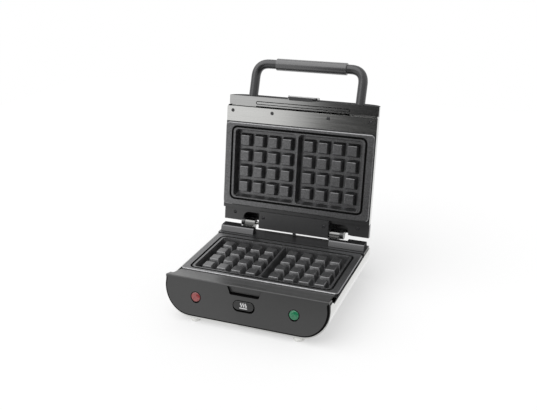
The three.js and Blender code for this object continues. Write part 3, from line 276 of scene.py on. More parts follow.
def lamp_plastic(name, base):
    """Clear tinted polycarbonate over a small lamp: glossy, deep in colour, with facets of 2.4 mm."""
    material, tree, shader, at = surface(
        name, base, Roughness=0.16, IOR=1.58, Transmission_Weight=0.25, Coat_Weight=0.5,
        Coat_Roughness=0.08,
    )
    facets = add(tree, "ShaderNodeTexVoronoi", {"Vector": at, "Scale": 420.0})
    bump = add(
        tree, "ShaderNodeBump",
        {"Height": facets.outputs["Distance"], "Distance": 0.4 * MM, "Strength": 0.35},
    )
    tree.links.new(bump.outputs["Normal"], shader.inputs["Normal"])
    vary(tree, shader, facets.outputs["Distance"], shade(base, 1.15), shade(base, 0.7), 0.1, 0.6)
    return material


def silicone_foot(name, base):
    """Pale silicone rubber: matt, with the soft mottling of a moulded foot."""
    material, tree, shader, at = surface(name, base, Roughness=0.7, IOR=1.41)
    mottle = grain(tree, shader, at, 700, depth=0.1 * MM)
    vary(tree, shader, mottle, shade(base, 0.93), base)
    return material


def glazed_steatite(name, base):
    """Steatite, the pale ceramic of terminal blocks: faint speckle under a dull glaze."""
    material, tree, shader, at = surface(name, base, Roughness=0.45, IOR=1.6)
    speck = grain(tree, shader, at, 1100, depth=0.05 * MM)
    vary(tree, shader, speck, shade(base, 0.9), base)
    return material


def heat_tinted_steel(name, base):
    """Sheathed heating element: nickel steel darkened unevenly by heat."""
    material, tree, shader, at = surface(name, base, Roughness=0.5, Metallic=1.0)
    tint = grain(tree, shader, at, 90, depth=0.1 * MM, detail=4.0)
    vary(tree, shader, tint, shade(base, 0.6), shade(base, 1.25))
    return material


def white_ink(name):
    """Pad-printed ink: flat and slightly chalky."""
    base = linear("c9c9c9")
    material, tree, shader, at = surface(name, base, Roughness=0.6, IOR=1.5)
    chalk = grain(tree, shader, at, 2500, depth=0.02 * MM)
    vary(tree, shader, chalk, shade(base, 0.88), base)
    return material


finishes = {}


def make_finishes():
    body = bpy.context.scene.waffle_body
    plate = bpy.context.scene.waffle_plate
    steel = list(body.steel)
    finishes.update(
        fascia=moulded_abs("fascia_abs", list(body.fascia), 0.32, 0.0),
        black_plastic=moulded_abs("black_abs", list(body.black), 0.3, 0.6),
        # Black that stands for painted shade in gaps, wells and grooves, and is also the lamp rings' own
        # black
        well=moulded_abs("black_abs_and_painted_shade", linear("0c0c0c"), 0.6, 0.0, 1.15),
        matt_black=moulded_abs("matt_black_abs", linear("1f1f20"), 0.7, 0.0, 1.2),
        button=moulded_abs("button_abs", linear("1c1c1c"), 0.34, 0.3),
        brushed_cover=brushed_stainless("brushed_stainless_cover", steel, 0.11, (0.02, 1, 1), 0.08),
        trim=brushed_stainless("brushed_aluminium_trim", linear("b4b4b3"), 0.1, (0.02, 1, 1), 0.08),
        hinge_steel=brushed_stainless("turned_steel", linear("7c7c7b"), 0.16, (1, 0.1, 0.1), 0.05),
        hinge_paint=brushed_stainless("brushed_anodised_grey", linear("69696a"), 0.26, (0.02, 1, 1), 0.1),
        non_stick=cast_non_stick("non_stick_coating", list(plate.coating)),
        # A lighter coating for the plates' upper edges: a painted highlight
        worn_edge=cast_non_stick("non_stick_worn_edge", shade(list(plate.coating), 1.45)),
        handle_paint=powder_coat("handle_powder_coat", list(body.handle), 0.26),
        grip=moulded_abs("grip_phenolic", shade(list(body.handle), 1.1), 0.24, 0.9),
        red_lens=lamp_plastic("red_polycarbonate", list(body.red)),
        green_lens=lamp_plastic("green_polycarbonate", list(body.green)),
        pale_rubber=silicone_foot("pale_silicone", linear("e4e4e1")),
        reflector=brushed_stainless("aluminised_steel", linear("b0b0ae"), 0.4, (1, 0.05, 1), 0.1),
        element=heat_tinted_steel("heat_tinted_sheath", linear("6e716c")),
        ceramic=glazed_steatite("steatite", linear("d8d4c8")),
        screw=powder_coat("blackened_screw_steel", linear("3b3b3d"), 0.4),
        ink=white_ink("pad_printed_ink"),
    )


# Meshes


def join_facets(made):
    bmesh.ops.dissolve_limit(
        made, angle_limit=SAME_PLANE, verts=made.verts, edges=made.edges, delimit=set()
    )


def merged_copy(node):
    """A welded copy of a CAD node, with its flat facets joined."""
    made = bmesh.new()
    made.from_mesh(frame["nodes"][node].data)
    bmesh.ops.remove_doubles(made, verts=made.verts, dist=SAME_POINT)
    join_facets(made)
    return made


def cut(made, at, facing):
    """Cuts all faces along a plane and keeps both sides."""
    bmesh.ops.bisect_plane(
        made, geom=[*made.verts, *made.edges, *made.faces], plane_co=at, plane_no=facing
    )


def skin(made, low, high):
    """Closes the space between two rings of corners with two ends and the walls between them."""
    made.faces.new(low[::-1])
    made.faces.new(high)
    for i in range(len(low)):
        j = (i + 1) % len(low)
        made.faces.new([low[i], low[j], high[j], high[i]])


def mesh_object(name, made):
    mesh = bpy.data.meshes.new(name)
    made.to_mesh(mesh)
    made.free()
    piece = bpy.data.objects.new(name, mesh)
    bpy.context.scene.collection.objects.link(piece)
    return piece


def settled(piece):
    """Turns a piece's modifiers into plain mesh."""
    depsgraph = bpy.context.evaluated_depsgraph_get()
    mesh = bpy.data.meshes.new_from_object(piece.evaluated_get(depsgraph), depsgraph=depsgraph)
    piece.modifiers.clear()
    piece.data = mesh
    return piece


def rounded(piece, width, segments=3):
    """Rounds a piece's edges and shades it smooth between them."""
    bevel = piece.modifiers.new("edges", "BEVEL")
    bevel.width = width
    bevel.segments = segments
    bevel.limit_method = "ANGLE"
    bevel.angle_limit = SHARP
    bevel.use_clamp_overlap = True
    shading = piece.modifiers.new("flat faces stay flat", "WEIGHTED_NORMAL")
    shading.mode = "FACE_AREA"
    shading.weight = 100
    for face in piece.data.polygons:
        face.use_smooth = True
    return settled(piece)


def dress(piece, finish, body, slot_name, *nodes):
    """Gives a piece its finish and its body, and hides the CAD nodes that it stands for."""
    piece.data.materials.clear()
    piece.data.materials.append(finishes[finish])
    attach(piece, body)
    if nodes:
        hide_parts(*nodes)
    return piece


def paint(piece, finish, chosen):
    """Gives another finish to the faces that a test chooses."""
    piece.data.materials.append(finishes[finish])
    for face in piece.data.polygons:
        if chosen(face):
            face.material_index = len(piece.data.materials) - 1


def coat(finish, *nodes):
    """Gives CAD nodes that keep their mesh a finish."""
    for name in nodes:
        mesh = frame["nodes"][name].data
        mesh.materials.clear()
        mesh.materials.append(finishes[finish])


def body_of(node):
    return frame["nodes"][node]["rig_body"]


def slot_of(node):
    return next(s["material_slot"] for s in frame["record"]["subparts"] if s["node"] == node)


def refine(node, width, finish=None, segments=3):
    """Replaces a CAD node by its own shape with rounded edges."""
    piece = rounded(mesh_object(f"{node}_finished", merged_copy(node)), width, segments=segments)
    return dress(piece, finish or slot_of(node), body_of(node), slot_of(node), node)


def face_y(z):
    return FACE_BOTTOM.y + (z - FACE_BOTTOM.z) * math.tan(FACE_TILT)


def share(value, start, end):
    """How far a value has come from a start, 0, to an end, 1."""
    return min(1, max(0, (value - start) / (end - start)))


def on_face(x, z):
    """A place on the fascia: X right, -Y out of the face, Z up along it."""
    return Matrix.Translation((x, face_y(z), z)) @ Matrix.Rotation(-FACE_TILT, 4, "X")


def lid_open():
    """Takes a place on the closed lid to the open lid."""
    return Matrix.Translation(HINGE) @ Matrix.Rotation(-OPEN, 4, "X") @ Matrix.Translation(-HINGE)


def lathe(profile, steps=48):
    """A solid of revolution about Z, from radii and heights that start and end on the axis."""
    made = bmesh.new()
    rings = []
    for radius, height in profile:
        if radius == 0:
            rings.append([made.verts.new((0, 0, height))])
            continue
        rings.append([
            made.verts.new((radius * math.cos(a), radius * math.sin(a), height))
            for a in (2 * math.pi * i / steps for i in range(steps))
        ])
    for low, high in zip(rings, rings[1:]):
        for i in range(steps):
            j = (i + 1) % steps
            corners = [low[i % len(low)], low[j % len(low)], high[j % len(high)], high[i % len(high)]]
            made.faces.new(list(dict.fromkeys(corners)))
    bmesh.ops.recalc_face_normals(made, faces=made.faces)
    for face in made.faces:
        face.smooth = True
    return made


def hoop(section, steps=64):
    """A closed ring about Z from the radii and heights of its section."""
    made = bmesh.new()
    loops = []
    for i in range(steps):
        a = 2 * math.pi * i / steps
        loops.append([made.verts.new((r * math.cos(a), r * math.sin(a), h)) for r, h in section])
    for i, loop in enumerate(loops):
        after = loops[(i + 1) % steps]
        for k in range(len(section)):
            m = (k + 1) % len(section)
            made.faces.new([loop[k], after[k], after[m], loop[m]])
    bmesh.ops.recalc_face_normals(made, faces=made.faces)
    for face in made.faces:
        face.smooth = True
    return made


# Geometry Nodes


def node_tree(name, inputs):
    """A geometry tree with a geometry input, the named inputs and a geometry output."""
    tree = bpy.data.node_groups.new(name, "GeometryNodeTree")
    tree.interface.new_socket("Geometry", in_out="INPUT", socket_type="NodeSocketGeometry")
    for label, kind in inputs:
        tree.interface.new_socket(label, in_out="INPUT", socket_type=kind)
    tree.interface.new_socket("Geometry", in_out="OUTPUT", socket_type="NodeSocketGeometry")
    return tree, tree.nodes.new("NodeGroupInput")


def close_tree(tree, geometry, material):
    """Ends a tree with Realize Instances and Set Material."""
    real = add(tree, "GeometryNodeRealizeInstances", {"Geometry": geometry})
    finished = add(
        tree, "GeometryNodeSetMaterial", {"Geometry": real.outputs["Geometry"], "Material": material}
    )
    add(tree, "NodeGroupOutput", {"Geometry": finished.outputs["Geometry"]})


def grown(piece, tree, values):
    """Runs a tree on a piece with the given inputs and keeps the result as plain mesh."""
    modifier = piece.modifiers.new(tree.name, "NODES")
    modifier.node_group = tree
    for item in tree.interface.items_tree:
        if item.in_out == "INPUT" and item.name in values:
            modifier[item.identifier] = values[item.name]
    return settled(piece)


def block_mesh(looks):
    """One tapered block with rounded top and corners, its root a little below height 0."""
    made = bmesh.new()
    root = 0.5 * MM
    wider = looks.draft * (1 + root / looks.height)
    corners = ((-1, -1), (1, -1), (1, 1), (-1, 1))
    low = [
        made.verts.new((x * (looks.top_x / 2 + wider), y * (looks.top_y / 2 + wider), -root))
        for x, y in corners
    ]
    high = [
        made.verts.new((x * looks.top_x / 2, y * looks.top_y / 2, looks.height)) for x, y in corners
    ]
    skin(made, low, high)
    sides = [e for e in made.edges if abs(e.verts[0].co.z - e.verts[1].co.z) > MM]
    bmesh.ops.bevel(made, geom=sides, offset=looks.corner, segments=3, profile=0.5, affect="EDGES")
    rim = [e for e in made.edges if min(v.co.z for v in e.verts) > looks.height - 0.1 * MM]
    bmesh.ops.bevel(made, geom=rim, offset=looks.edge, segments=3, profile=0.5, affect="EDGES")
    bmesh.ops.recalc_face_normals(made, faces=made.faces)
    flat = 10 * MM * MM
    for face in made.faces:
        face.smooth = face.calc_area() < flat or abs(face.normal.z) < 0.9
    return made


def block_tree(material):
    """Sets blocks on two grids of points, one in each mould, and joins them to the plate."""
    tree, group = node_tree("waffle_blocks", [
        ("Block", "NodeSocketObject"), ("Columns", "NodeSocketInt"), ("Rows", "NodeSocketInt"),
        ("Pitch X", "NodeSocketFloat"), ("Pitch Y", "NodeSocketFloat"), ("Mould X", "NodeSocketFloat"),
        ("Floor", "NodeSocketFloat"),
    ])
    values = group.outputs

    def span(pitch, count):
        gaps = add(tree, "ShaderNodeMath", {0: values[count], 1: 1.0}, operation="SUBTRACT")
        size = add(tree, "ShaderNodeMath", {0: gaps.outputs[0], 1: values[pitch]}, operation="MULTIPLY")
        return size.outputs[0]

    grid = add(tree, "GeometryNodeMeshGrid", {
        "Size X": span("Pitch X", "Columns"), "Size Y": span("Pitch Y", "Rows"),
        "Vertices X": values["Columns"], "Vertices Y": values["Rows"],
    })
    block = add(tree, "GeometryNodeObjectInfo", {"Object": values["Block"]})
    moulds = []
    for sign in (-1.0, 1.0):
        side = add(tree, "ShaderNodeMath", {0: values["Mould X"], 1: sign}, operation="MULTIPLY")
        place = add(tree, "ShaderNodeCombineXYZ", {"X": side.outputs[0], "Z": values["Floor"]})
        moved = add(tree, "GeometryNodeTransform", {
            "Geometry": grid.outputs["Mesh"], "Translation": place.outputs["Vector"],
        })
        moulds.append(moved.outputs["Geometry"])
    points = tree.nodes.new("GeometryNodeJoinGeometry")
    for mould in moulds:
        tree.links.new(mould, points.inputs["Geometry"])
    blocks = add(tree, "GeometryNodeInstanceOnPoints", {
        "Points": points.outputs["Geometry"], "Instance": block.outputs["Geometry"],
    })
    joined = tree.nodes.new("GeometryNodeJoinGeometry")
    tree.links.new(values["Geometry"], joined.inputs["Geometry"])
    tree.links.new(blocks.outputs["Instances"], joined.inputs["Geometry"])
    close_tree(tree, joined.outputs["Geometry"], material)
    return tree


def plate_tub(node, place):
    """The plate without its blocks, in its own frame with the rim at height 0."""
    looks = bpy.context.scene.waffle_plate
    made = merged_copy(node)
    bmesh.ops.transform(made, matrix=place.inverted(), verts=made.verts)
    floor = -(looks.drop + looks.height)
    margin, spare = 0.4 * MM, 0.05 * MM
    half_x = ((looks.columns - 1) * looks.pitch_x + looks.top_x) / 2 + looks.draft + margin
    half_y = ((looks.rows - 1) * looks.pitch_y + looks.top_y) / 2 + looks.draft + margin

    def on_blocks(face):
        return floor + spare < face.calc_center_median().z < spare - looks.drop and all(
            abs(abs(v.co.x) - looks.mould_x) < half_x and abs(v.co.y) < half_y for v in face.verts
        )

    bmesh.ops.delete(made, geom=[f for f in made.faces if on_blocks(f)], context="FACES")
    bmesh.ops.holes_fill(made, edges=[e for e in made.edges if e.is_boundary], sides=0)
    join_facets(made)
    return made


class WAFFLE_OT_plates(bpy.types.Operator):
    """Builds both waffle plates: a cast tub with its blocks set on a grid"""

    bl_idname = "waffle.plates"
    bl_label = "Waffle plates"

    def execute(self, context):
        looks = context.scene.waffle_plate
        block = mesh_object("block_pattern", block_mesh(looks))
        tree = block_tree(finishes["non_stick"])
        lower = Matrix.Translation((0, MOULD_Y, LOWER_RIM))
        upside_down = Matrix.Rotation(math.pi, 4, "Y")
        upper = lid_open() @ Matrix.Translation((0, MOULD_Y, UPPER_RIM)) @ upside_down

        def groove_floor_in_painted_shade(face):
            return abs(face.center.z + looks.groove) < 0.05 * MM and face.normal.z > 0.9

        def edge_with_painted_highlight(face):
            return 0.4 < face.normal.z < 0.97 and face.center.z > 0.2 * MM - looks.groove

        for node, place in (("lower_waffle_plate", lower), ("upper_waffle_plate", upper)):
            piece = rounded(mesh_object(f"{node}_finished", plate_tub(node, place)), looks.edge)
            grown(piece, tree, {
                "Block": block, "Columns": looks.columns, "Rows": looks.rows,
                "Pitch X": looks.pitch_x, "Pitch Y": looks.pitch_y, "Mould X": looks.mould_x,
                "Floor": -(looks.drop + looks.height),
            })
            dress(piece, "non_stick", body_of(node), "non_stick", node)

            # Painted shade: the overflow groove's floor is black. Painted highlight: the upper edges get
            # a lighter coating
            paint(piece, "well", groove_floor_in_painted_shade)
            paint(piece, "worn_edge", edge_with_painted_highlight)
            piece.data.transform(place)
        bpy.data.objects.remove(block)
        return {"FINISHED"}


class WAFFLE_OT_fascia(bpy.types.Operator):
    """Builds the moulded front with its softly rounded outline"""

    bl_idname = "waffle.fascia"
    bl_label = "Fascia"

    def execute(self, context):
        looks = context.scene.waffle_body
        made = merged_copy("front_fascia")
        inward = Vector((0, math.cos(FACE_TILT), -math.sin(FACE_TILT)))

        # A lip of the face covers the edge of the sheet shell behind it. It stands out at the sides
        # and hangs down at the bottom, and runs out towards the crease
        lip, spare = 3.35 * MM, 0.05 * MM
        aside, aside_from, aside_full = 1.5 * MM, 95 * MM, 123 * MM
        down, down_from, down_full = 3.7 * MM, 53.5 * MM, 15.5 * MM
        none_above, full_below = 66 * MM, 58 * MM
        for depth in (lip - spare, lip + spare):
            cut(made, FACE_BOTTOM + inward * depth, inward)
        for vert in made.verts:
            x, y, z = vert.co
            if (y - face_y(z)) * math.cos(FACE_TILT) < lip:
                out = share(abs(x), aside_from, aside_full) * share(z, none_above, full_below)
                vert.co.x += math.copysign(aside * out, x)
                vert.co.z -= down * share(z, down_from, down_full)
                vert.co.y = max(y + face_y(vert.co.z) - face_y(z), FACE_BOTTOM.y)

        # The rounding runs out below the crease, so the sides are cut there first. Its edges lie at the
        # sides, at the bottom, or outside a bow round each lower corner
        rounding_top = FACE_BOTTOM.z + 50 * MM
        cut(made, Vector((0, 0, rounding_top)), Vector((0, 0, 1)))
        side, bottom = 124.8 * MM, FACE_BOTTOM.z + 0.2 * MM
        bow_x, bow_z, bow_radius = 85 * MM, 53.5 * MM, 39.5 * MM

        def on_outline(vert):
            x, y, z = vert.co
            if y > face_y(z) + 0.9 * MM or z > rounding_top + 0.1 * MM:
                return False
            in_bow = abs(x) > bow_x and math.hypot(abs(x) - bow_x, z - bow_z) > bow_radius
            return abs(x) > side or z < bottom or in_bow

        outline = [e for e in made.edges if all(on_outline(v) for v in e.verts) and not e.is_boundary]
        bmesh.ops.bevel(
            made, geom=outline, offset=looks.fascia_edge, segments=5, profile=0.5,
            affect="EDGES", clamp_overlap=False,
        )
        piece = rounded(mesh_object("front_fascia_finished", made), looks.moulded_edge)
        dress(piece, "fascia", "base", "fascia", "front_fascia")

        # Painted shade in black: the button's well, the finger pocket's ends and slit, and a line along
        # the outline, where the faces turn away from the front
        well_x, well_z = 19 * MM, 10 * MM
        pocket_x, pocket_low, slit_top, pocket_high = 28 * MM, 54.3 * MM, 57.2 * MM, 68 * MM
        edge_x, edge_z = 90 * MM, 20 * MM

        def in_painted_shade(face):
            x, y, z = face.center
            sunk = y - face_y(z)
            if 0.2 * MM < sunk < 6 * MM:
                if abs(x) < well_x and abs(z - BUTTON_Z) < well_z:
                    return True
                if abs(x) < pocket_x and pocket_low < z < pocket_high:
                    return abs(face.normal.x) > 0.5 or z < slit_top
            near_outline = sunk < lip - spare and (abs(x) > edge_x or z < edge_z)
            return near_outline and 0.3 < -inward.dot(face.normal) < 0.993

        paint(piece, "well", in_painted_shade)
        return {"FINISHED"}


class WAFFLE_OT_housing(bpy.types.Operator):
    """Refines the sheet metal and the mouldings of base and lid"""

    bl_idname = "waffle.housing"
    bl_label = "Housing"

    def execute(self, context):
        looks = context.scene.waffle_body
        turn = lid_open()
        back = turn.inverted()
        for node in ("base_shell", "lid_cover"):
            refine(node, looks.sheet_edge, segments=2)

        # Only the inner frame's front strip is bare metal, the rest of it is black
        strip_end = Vector((0, MOULD_Y - 68 * MM, 0))
        made = merged_copy("lid_inner_frame")
        cut(made, turn @ strip_end, turn.to_3x3() @ Vector((0, 1, 0)))
        sheet = rounded(mesh_object("lid_inner_frame_finished", made), looks.sheet_edge, segments=2)
        dress(sheet, "brushed_cover", "lid", "brushed_cover", "lid_inner_frame")
        paint(sheet, "black_plastic", lambda face: (back @ face.center).y > strip_end.y)
        for node in ("lower_plate_frame", "rear_housing", "lid_rear_panel", "latch_clip"):
            refine(node, looks.moulded_edge)

        # The trim's outer face is black, and the groove round its long bar gets painted shade in black
        groove_low, groove_high = 72.7 * MM, 74.2 * MM
        groove_x, groove_front, groove_rear = 80 * MM, MOULD_Y - 106 * MM, MOULD_Y - 94 * MM

        def groove_in_painted_shade(face):
            x, y, z = back @ face.center
            return groove_low < z < groove_high and abs(x) < groove_x and groove_front < y < groove_rear

        trim = refine("lid_front_trim", looks.sheet_edge, "trim", segments=2)
        paint(trim, "matt_black", lambda face: (back.to_3x3() @ face.normal).y < -0.7)
        paint(trim, "well", groove_in_painted_shade)

        # The clip ends in a hook that snaps into the finger pocket of the closed base
        hook = bmesh.new()
        front, rear, taper = MOULD_Y - 112.9 * MM, MOULD_Y - 108.7 * MM, 1.8 * MM

        def hook_ring(half, z):
            corners = ((-half, front), (half, front), (half - taper, rear), (taper - half, rear))
            return [hook.verts.new((x, y, z)) for x, y in corners]

        skin(hook, hook_ring(20.6 * MM, 64.1 * MM), hook_ring(21 * MM, 65.6 * MM))
        bmesh.ops.recalc_face_normals(hook, faces=hook.faces)
        bmesh.ops.transform(hook, matrix=turn, verts=hook.verts)
        piece = rounded(mesh_object("latch_hook", hook), looks.sheet_edge)
        dress(piece, "black_plastic", "latch", slot_of("latch_clip"))
        return {"FINISHED"}


class WAFFLE_OT_hinges(bpy.types.Operator):
    """Refines the hinge blocks with their black tops and ends, and the barrels and pins"""

    bl_idname = "waffle.hinges"
    bl_label = "Hinges"

    def execute(self, context):
        looks = context.scene.waffle_body
        for side in ("left", "right"):
            block = refine(f"hinge_block_{side}", looks.moulded_edge)
            paint(block, "matt_black", lambda face: face.normal.z > 0.9 or abs(face.normal.x) > 0.9)
            refine(f"hinge_knuckle_{side}", looks.moulded_edge * 1.2)
            refine(f"hinge_pin_{side}", looks.moulded_edge)
        return {"FINISHED"}


def wave_points(x, low, high, swing, steps=14):
    """One upright wave from low to high about a line at x."""
    return [
        (x + swing * math.sin(2 * math.pi * i / steps), low + (high - low) * i / steps)
        for i in range(steps + 1)
    ]


def raised_stroke(made, points, width, top, root):
    """A stroke of even width that stands proud of the button's face; -Y is out of the face."""
    rows = []
    for i, (x, z) in enumerate(points):
        before, after = points[max(i - 1, 0)], points[min(i + 1, len(points) - 1)]
        along = Vector((after[0] - before[0], after[1] - before[1])).normalized()
        across = Vector((-along.y, along.x)) * width / 2
        rows.append([
            made.verts.new((x + s * across.x, y, z + s * across.y))
            for s, y in ((-1, top), (1, top), (1, root), (-1, root))
        ])
    for a, b in zip(rows, rows[1:]):
        for i in range(4):
            made.faces.new([a[i], a[(i + 1) % 4], b[(i + 1) % 4], b[i]])
    made.faces.new(rows[0][::-1])
    made.faces.new(rows[-1])


class WAFFLE_OT_controls(bpy.types.Operator):
    """Builds the push button with its heat sign, and the two lamps with their rings"""

    bl_idname = "waffle.controls"
    bl_label = "Controls"

    def execute(self, context):
        button = merged_copy("release_button")
        piece = rounded(mesh_object("release_button_finished", button), 0.9 * MM, segments=4)
        dress(piece, "button", "button", "black_plastic", "release_button")

        # Three waves of warm air over a line, the common sign for heat
        sign = bmesh.new()
        root, top = -0.8 * MM, -1.35 * MM
        for x in (-3.6 * MM, 0, 3.6 * MM):
            wave = wave_points(x, -1.2 * MM, 4.3 * MM, swing=0.9 * MM)
            raised_stroke(sign, wave, 1.7 * MM, top, root)
        line = [(x, -3.3 * MM) for x in (-5.8 * MM, 5.8 * MM)]
        raised_stroke(sign, line, 1.6 * MM, top, root)
        bmesh.ops.recalc_face_normals(sign, faces=sign.faces)
        bmesh.ops.transform(sign, matrix=on_face(0, BUTTON_Z), verts=sign.verts)
        dress(mesh_object("heat_sign", sign), "ink", "button", "black_plastic")

        # Radii and heights in millimetres, of the domed lens and of the ring round it
        dome = (
            (0, -9), (7.1, -9), (7.2, -8.5), (7.2, -0.2), (6.9, 0.15), (5.7, 0.55), (3.7, 0.85),
            (1.7, 0.97), (0, 1),
        )
        bead = ((7.25, -0.6), (8.3, -0.6), (8.3, 0), (8.1, 0.3), (7.75, 0.42), (7.4, 0.3), (7.25, 0))
        for colour_name, side in (("red", -1), ("green", 1)):
            place = on_face(side * LAMP_X, LAMP_Z) @ Matrix.Rotation(math.pi / 2, 4, "X")
            lens = lathe([(r * MM, h * MM) for r, h in dome])
            bmesh.ops.transform(lens, matrix=place, verts=lens.verts)
            name, finish = f"{colour_name}_lamp", f"{colour_name}_lens"
            dress(mesh_object(name, lens), finish, "base", finish, f"{name}_lens")
            ring = hoop([(r * MM, h * MM) for r, h in bead])
            bmesh.ops.transform(ring, matrix=place, verts=ring.verts)
            dress(mesh_object(f"{name}_ring", ring), "well", "base", "fascia")
        return {"FINISHED"}


def screw_mesh():
    """A pan-head screw with a cross recess, its head down at height 0 and its shank above."""
    profile = (
        (0, 0), (1.5, 0.05), (2.2, 0.3), (2.6, 0.8), (2.6, 1.4), (1.5, 1.4), (1.5, 9), (0, 9)
    )
    head = mesh_object("screw_pattern", lathe([(r * MM, h * MM) for r, h in profile], 32))
    cross = bmesh.new()
    for turn in (0, math.pi / 2):
        bar = bmesh.ops.create_cube(cross, size=1)["verts"]
        bmesh.ops.scale(cross, vec=(2.9 * MM, 0.6 * MM, 1.8 * MM), verts=bar)
        bmesh.ops.rotate(cross, cent=(0, 0, 0), matrix=Matrix.Rotation(turn, 3, "Z"), verts=bar)
    cutter = mesh_object("cross_recess", cross)
    recess = head.modifiers.new("recess", "BOOLEAN")
    recess.operation = "DIFFERENCE"
    recess.object = cutter
    recess.use_self = True
    settled(head)
    bpy.data.objects.remove(cutter)
    return head


class WAFFLE_OT_screws(bpy.types.Operator):
    """Sets a cross-head screw at each screw place of the lid"""

    bl_idname = "waffle.screws"
    bl_label = "Screws"

    def execute(self, context):
        nodes = [f"{kind}_screw_{i}" for kind in ("strip", "rear") for i in range(1, 5)]
        turn = lid_open()
        back = turn.inverted()
        places = bmesh.new()
        for node in nodes:
            corners = [back @ v.co for v in frame["nodes"][node].data.vertices]
            low = Vector([min(c[i] for c in corners) for i in range(3)])
            high = Vector([max(c[i] for c in corners) for i in range(3)])
            places.verts.new(((low.x + high.x) / 2, (low.y + high.y) / 2, low.z))
        piece = mesh_object("lid_screws", places)
        pattern = screw_mesh()
        tree, group = node_tree(
            "screws_on_points", [("Screw", "NodeSocketObject"), ("Turn", "NodeSocketFloat")]
        )
        screw = add(tree, "GeometryNodeObjectInfo", {"Object": group.outputs["Screw"]})
        index = add(tree, "GeometryNodeInputIndex")
        angle = add(tree, "ShaderNodeMath", {
            0: index.outputs["Index"], 1: group.outputs["Turn"],
        }, operation="MULTIPLY")
        facing = add(tree, "ShaderNodeCombineXYZ", {"Z": angle.outputs[0]})
        placed = add(tree, "GeometryNodeInstanceOnPoints", {
            "Points": group.outputs["Geometry"], "Instance": screw.outputs["Geometry"],
            "Rotation": facing.outputs["Vector"],
        })
        close_tree(tree, placed.outputs["Instances"], finishes["screw"])
        grown(piece, tree, {"Screw": pattern, "Turn": 0.7})
        bpy.data.objects.remove(pattern)
        piece.data.transform(turn)
        dress(piece, "screw", "lid", "screw", *nodes)
        return {"FINISHED"}


def handle_plane(along, x):
    """A place in the handle's tilted plane, so far along from its roots, with the lid closed."""
    tilt = math.radians(12)
    root_y, root_z = MOULD_Y - 98 * MM, 87.2 * MM
    return Vector((x, root_y - along * math.cos(tilt), root_z + along * math.sin(tilt)))


class WAFFLE_OT_handle(bpy.types.Operator):
    """Sweeps the bent handle tube along its path and fits the grip sleeve"""

    bl_idname = "waffle.handle"
    bl_label = "Handle"

    def execute(self, context):
        spread, reach, bend, steps = 90.3 * MM, 64.8 * MM, 22 * MM, 24
        path = [handle_plane(0, -spread), handle_plane(reach - bend, -spread)]
        for sign in (-1, 1):
            a = handle_plane(reach - bend, sign * spread)
            corner = handle_plane(reach, sign * spread)
            b = handle_plane(reach, sign * (spread - bend))
            shares = [i / steps for i in range(steps + 1)]
            points = [a * (1 - t) ** 2 + corner * 2 * t * (1 - t) + b * t * t for t in shares]
            path += points[1:] if sign < 0 else points[::-1]
        path.append(handle_plane(0, spread))
        line = bmesh.new()
        verts = [line.verts.new(lid_open() @ p) for p in path]
        for a, b in zip(verts, verts[1:]):
            line.edges.new((a, b))
        piece = mesh_object("handle_tube_finished", line)
        tree, group = node_tree(
            "tube_on_path", [("Radius", "NodeSocketFloat"), ("Sides", "NodeSocketInt")]
        )
        curve = add(tree, "GeometryNodeMeshToCurve", {"Mesh": group.outputs["Geometry"]})
        ring = add(tree, "GeometryNodeCurvePrimitiveCircle", {
            "Radius": group.outputs["Radius"], "Resolution": group.outputs["Sides"],
        }, mode="RADIUS")
        tube = add(tree, "GeometryNodeCurveToMesh", {
            "Curve": curve.outputs["Curve"], "Profile Curve": ring.outputs["Curve"], "Fill Caps": True,
        })
        smooth = add(tree, "GeometryNodeSetShadeSmooth", {"Geometry": tube.outputs["Mesh"]})
        close_tree(tree, smooth.outputs["Geometry"], finishes["handle_paint"])
        grown(piece, tree, {"Radius": 7.5 * MM, "Sides": 48})
        dress(piece, "handle_paint", "lid", "handle_paint", "handle_tube")

        # The sleeve sits a little to the right of the middle; its rounded end in radii and half lengths
        end = [(9.0, 59), (9.45, 58.9), (9.68, 58.6), (9.75, 58)]
        profile = [(0, -59), *((r, -h) for r, h in end), *end[::-1], (0, 59)]
        grip = lathe([(r * MM, h * MM) for r, h in profile], 64)
        aside = 3.5 * MM
        place = Matrix.Translation(handle_plane(reach, aside)) @ Matrix.Rotation(math.pi / 2, 4, "Y")
        bmesh.ops.transform(grip, matrix=lid_open() @ place, verts=grip.verts)
        dress(mesh_object("handle_grip_finished", grip), "grip", "lid", "grip", "handle_grip")
        return {"FINISHED"}


class WAFFLE_OT_inner(bpy.types.Operator):
    """Finishes the feet, the cord gland and the pieces inside the body"""

    bl_idname = "waffle.inner"
    bl_label = "Feet and inner pieces"

    def execute(self, context):
        for name in ("front_left", "front_right", "rear_left", "rear_right"):
            refine(f"foot_{name}", 0.8 * MM)
        refine("cord_gland", 0.5 * MM)
        refine("plate_catch", 0.3 * MM)
        refine("catch_pin", 0.2 * MM)
        refine("latch_pin", 0.2 * MM)
        for side in ("lower", "upper"):
            coat("reflector", f"{side}_reflector")
            coat("element", f"{side}_heating_element")
        coat("ceramic", "thermostat", "terminal_block")
        return {"FINISHED"}


def joined_by(tree, operation, first, second):
    """A math node on two values, such as their product or the larger one."""
    return add(tree, "ShaderNodeMath", {0: first, 1: second}, operation=operation).outputs[0]


def soft_step(tree, value, start, end, low, high):
    """A value that runs softly from its low at the start to its high at the end."""
    return add(tree, "ShaderNodeMapRange", {
        "Value": value, "From Min": start, "From Max": end, "To Min": low, "To Max": high,
    }, interpolation_type="SMOOTHSTEP").outputs["Result"]


